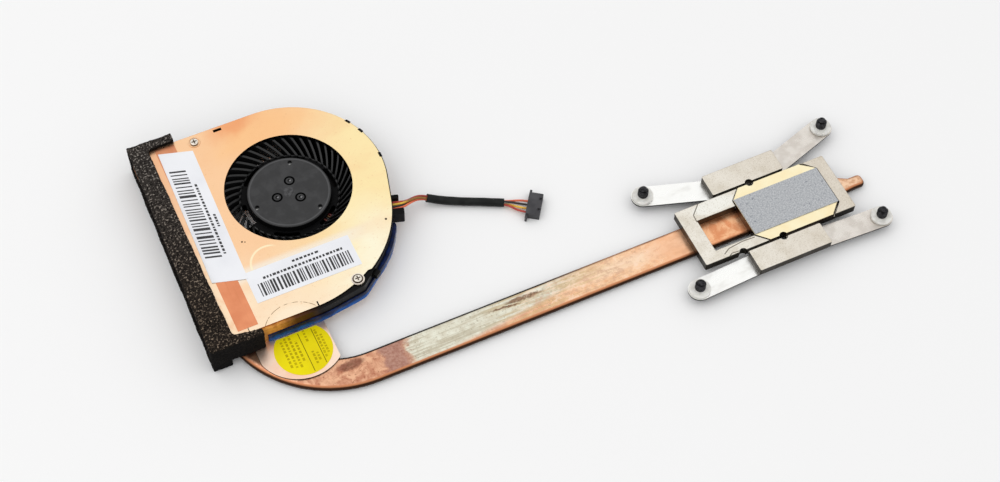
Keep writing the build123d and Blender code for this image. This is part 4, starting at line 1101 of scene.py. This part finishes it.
def inkBox(bm, corner, firstEdge, secondEdge):
    # a thin raised patch with two plan edges
    corners = ((0, 0), (1, 0), (1, 1), (0, 1))
    verts = [bm.verts.new(corner + first * firstEdge + second * secondEdge) for first, second in corners]
    face = bm.faces.new(verts)
    if face.normal.z < 0:
        face.normal_flip()
    face.normal_update()
    grown = bmesh.ops.extrude_face_region(bm, geom=[face])
    raised = [part for part in grown["geom"] if isinstance(part, bmesh.types.BMVert)]
    bmesh.ops.translate(bm, vec=Vector((0, 0, inkSet["height"] * mm)), verts=raised)


def printBars(bm, seed, start, step, bar, length, bold):
    # bars of seeded widths along step, each as long as bar
    rng = random.Random(seed)
    done = 0.0
    while done < length:
        thick = rng.choice(inkSet["barWidths"]) * bold * mm
        if done + thick > length:
            break
        inkBox(bm, start + step * done, step * thick, bar)
        done += thick + rng.choice(inkSet["barGaps"]) * bold * mm


def printDashes(bm, seed, start, step, bar, length):
    # short dashes in the place of a line of words
    rng = random.Random(seed)
    done = 0.0
    while done < length:
        dash = min(rng.uniform(*inkSet["dashLengths"]) * mm, length - done)
        inkBox(bm, start + step * done, step * dash, bar)
        done += dash + rng.uniform(*inkSet["dashGaps"]) * mm


def layInk(bm, name, finish, slot):
    bmesh.ops.recalc_face_normals(bm, faces=bm.faces)
    ink = meshPiece(bm, name)
    ink.data.materials.append(finishes[finish])
    settle(ink, "heatsink", slot)


# Label print: a block is its seed, then start and share across the label, then start and share along the run
longSet = {
    "inset": 1.5, "across": (10.5, -3.1, 0), "down": (-1.5, -51.6, 0), "bold": 2.0,
    "bars": (5, 0.10, 0.47, 0.145, 0.70),
    "words": ((6, 0.645, 0.07, 0.26, 0.54), (7, 0.80, 0.07, 0.50, 0.10)),
}
shortSet = {
    "bold": 1.3, "bars": (8, 0.13, 0.42, 0.07, 0.89),
    "words": ((9, 0.63, 0.075, 0.14, 0.76), (10, 0.81, 0.065, 0.44, 0.26)),
}


def printLabel(name, corner, side, run, s):
    def place(seed, sideFrom, sideShare, runFrom, runShare):
        start = corner + side * sideFrom + run * runFrom
        return seed, start, run.normalized(), side * sideShare, run.length * runShare

    bm = bmesh.new()
    printBars(bm, *place(*s["bars"]), s["bold"])
    for block in s["words"]:
        printDashes(bm, *place(*block))
    layInk(bm, name, "inkBlack", "label_paper")


low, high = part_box("long_label")
topLeft = Vector((low.x + longSet["inset"] * mm, high.y, high.z))
printLabel("longLabelPrint", topLeft, Vector(longSet["across"]) * mm, Vector(longSet["down"]) * mm, longSet)
low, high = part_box("short_label")
size = high - low
lowLeft = Vector((low.x, low.y, high.z))
printLabel("shortLabelPrint", lowLeft, Vector((0, size.y, 0)), Vector((size.x, 0, 0)), shortSet)

# Sticker: two fine rules across it, with rows of short dashes beside them
stickerSet = {"rules": (-157.45, -153.15), "ruleWidth": 0.2, "radius": 8.9, "margin": 0.5, "firstSeed": 20,
              "rows": ((-163.5, 10.2, 19.8), (-162.1, 9.6, 20.6), (-160.7, 9.2, 21.0), (-159.3, 11.0, 18.4),
                       (-155.9, 16.8, 21.2), (-155.9, 8.6, 13.2), (-154.7, 9.4, 12.4), (-152.6, 9.6, 19.8),
                       (-151.5, 10.8, 17.8)), "rowWidth": 0.72}


def ruleSticker(s):
    low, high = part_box("round_sticker")
    middle = Vector(((low.x + high.x) / 2, low.y + s["radius"] * mm, high.z))
    rules = bmesh.new()
    for x in s["rules"]:
        reach = math.sqrt(s["radius"] ** 2 - (x - middle.x / mm) ** 2) - s["margin"]
        start = Vector((x * mm, middle.y - reach * mm, high.z))
        top = min(middle.y + reach * mm, high.y - s["margin"] * mm)
        inkBox(rules, start, Vector((s["ruleWidth"] * mm, 0, 0)), Vector((0, top - start.y, 0)))
    words = bmesh.new()
    wide = Vector((s["rowWidth"] * mm, 0, 0))
    for seed, (x, first, last) in enumerate(s["rows"], s["firstSeed"]):
        start = Vector((x * mm, first * mm, high.z))
        printDashes(words, seed, start, Vector((0, 1, 0)), wide, (last - first) * mm)
    layInk(rules, "stickerRules", "inkOlive", "sticker_yellow")
    layInk(words, "stickerWords", "inkFaint", "sticker_yellow")


ruleSticker(stickerSet)
print("labels printed")

# Screw threads: one fine ridge wound up each stud
threadSet = {"radius": 1.58, "crest": 1.70, "half": 0.16, "root": 1.38, "pitch": 0.45, "below": 3.45,
             "turns": 5, "stepsPerTurn": 24}


def windThread(number, s):
    low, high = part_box(f"captive_screw_{number}")
    centre = Vector(((low.x + high.x) / 2, (low.y + high.y) / 2, high.z - s["below"] * mm))
    bm = bmesh.new()
    profile = ((s["radius"], -s["half"]), (s["crest"], 0.0), (s["radius"], s["half"]), (s["root"], 0.0))
    verts = [bm.verts.new(centre + Vector((away * mm, 0, rise * mm))) for away, rise in profile]
    face = bm.faces.new(verts)
    climb = s["pitch"] * mm / s["stepsPerTurn"]
    bmesh.ops.spin(bm, geom=[face, *face.edges, *face.verts], cent=centre, axis=(0, 0, 1), dvec=(0, 0, climb),
                   angle=math.tau * s["turns"], steps=s["turns"] * s["stepsPerTurn"])
    bmesh.ops.recalc_face_normals(bm, faces=bm.faces)
    thread = meshPiece(bm, f"screwThread{number}", True)
    thread.data.materials.append(finishes["screwBlack"])
    settle(thread, f"screw_{number}", "screw_black")


for number in screwNumbers:
    windThread(number, threadSet)
print("threads wound")
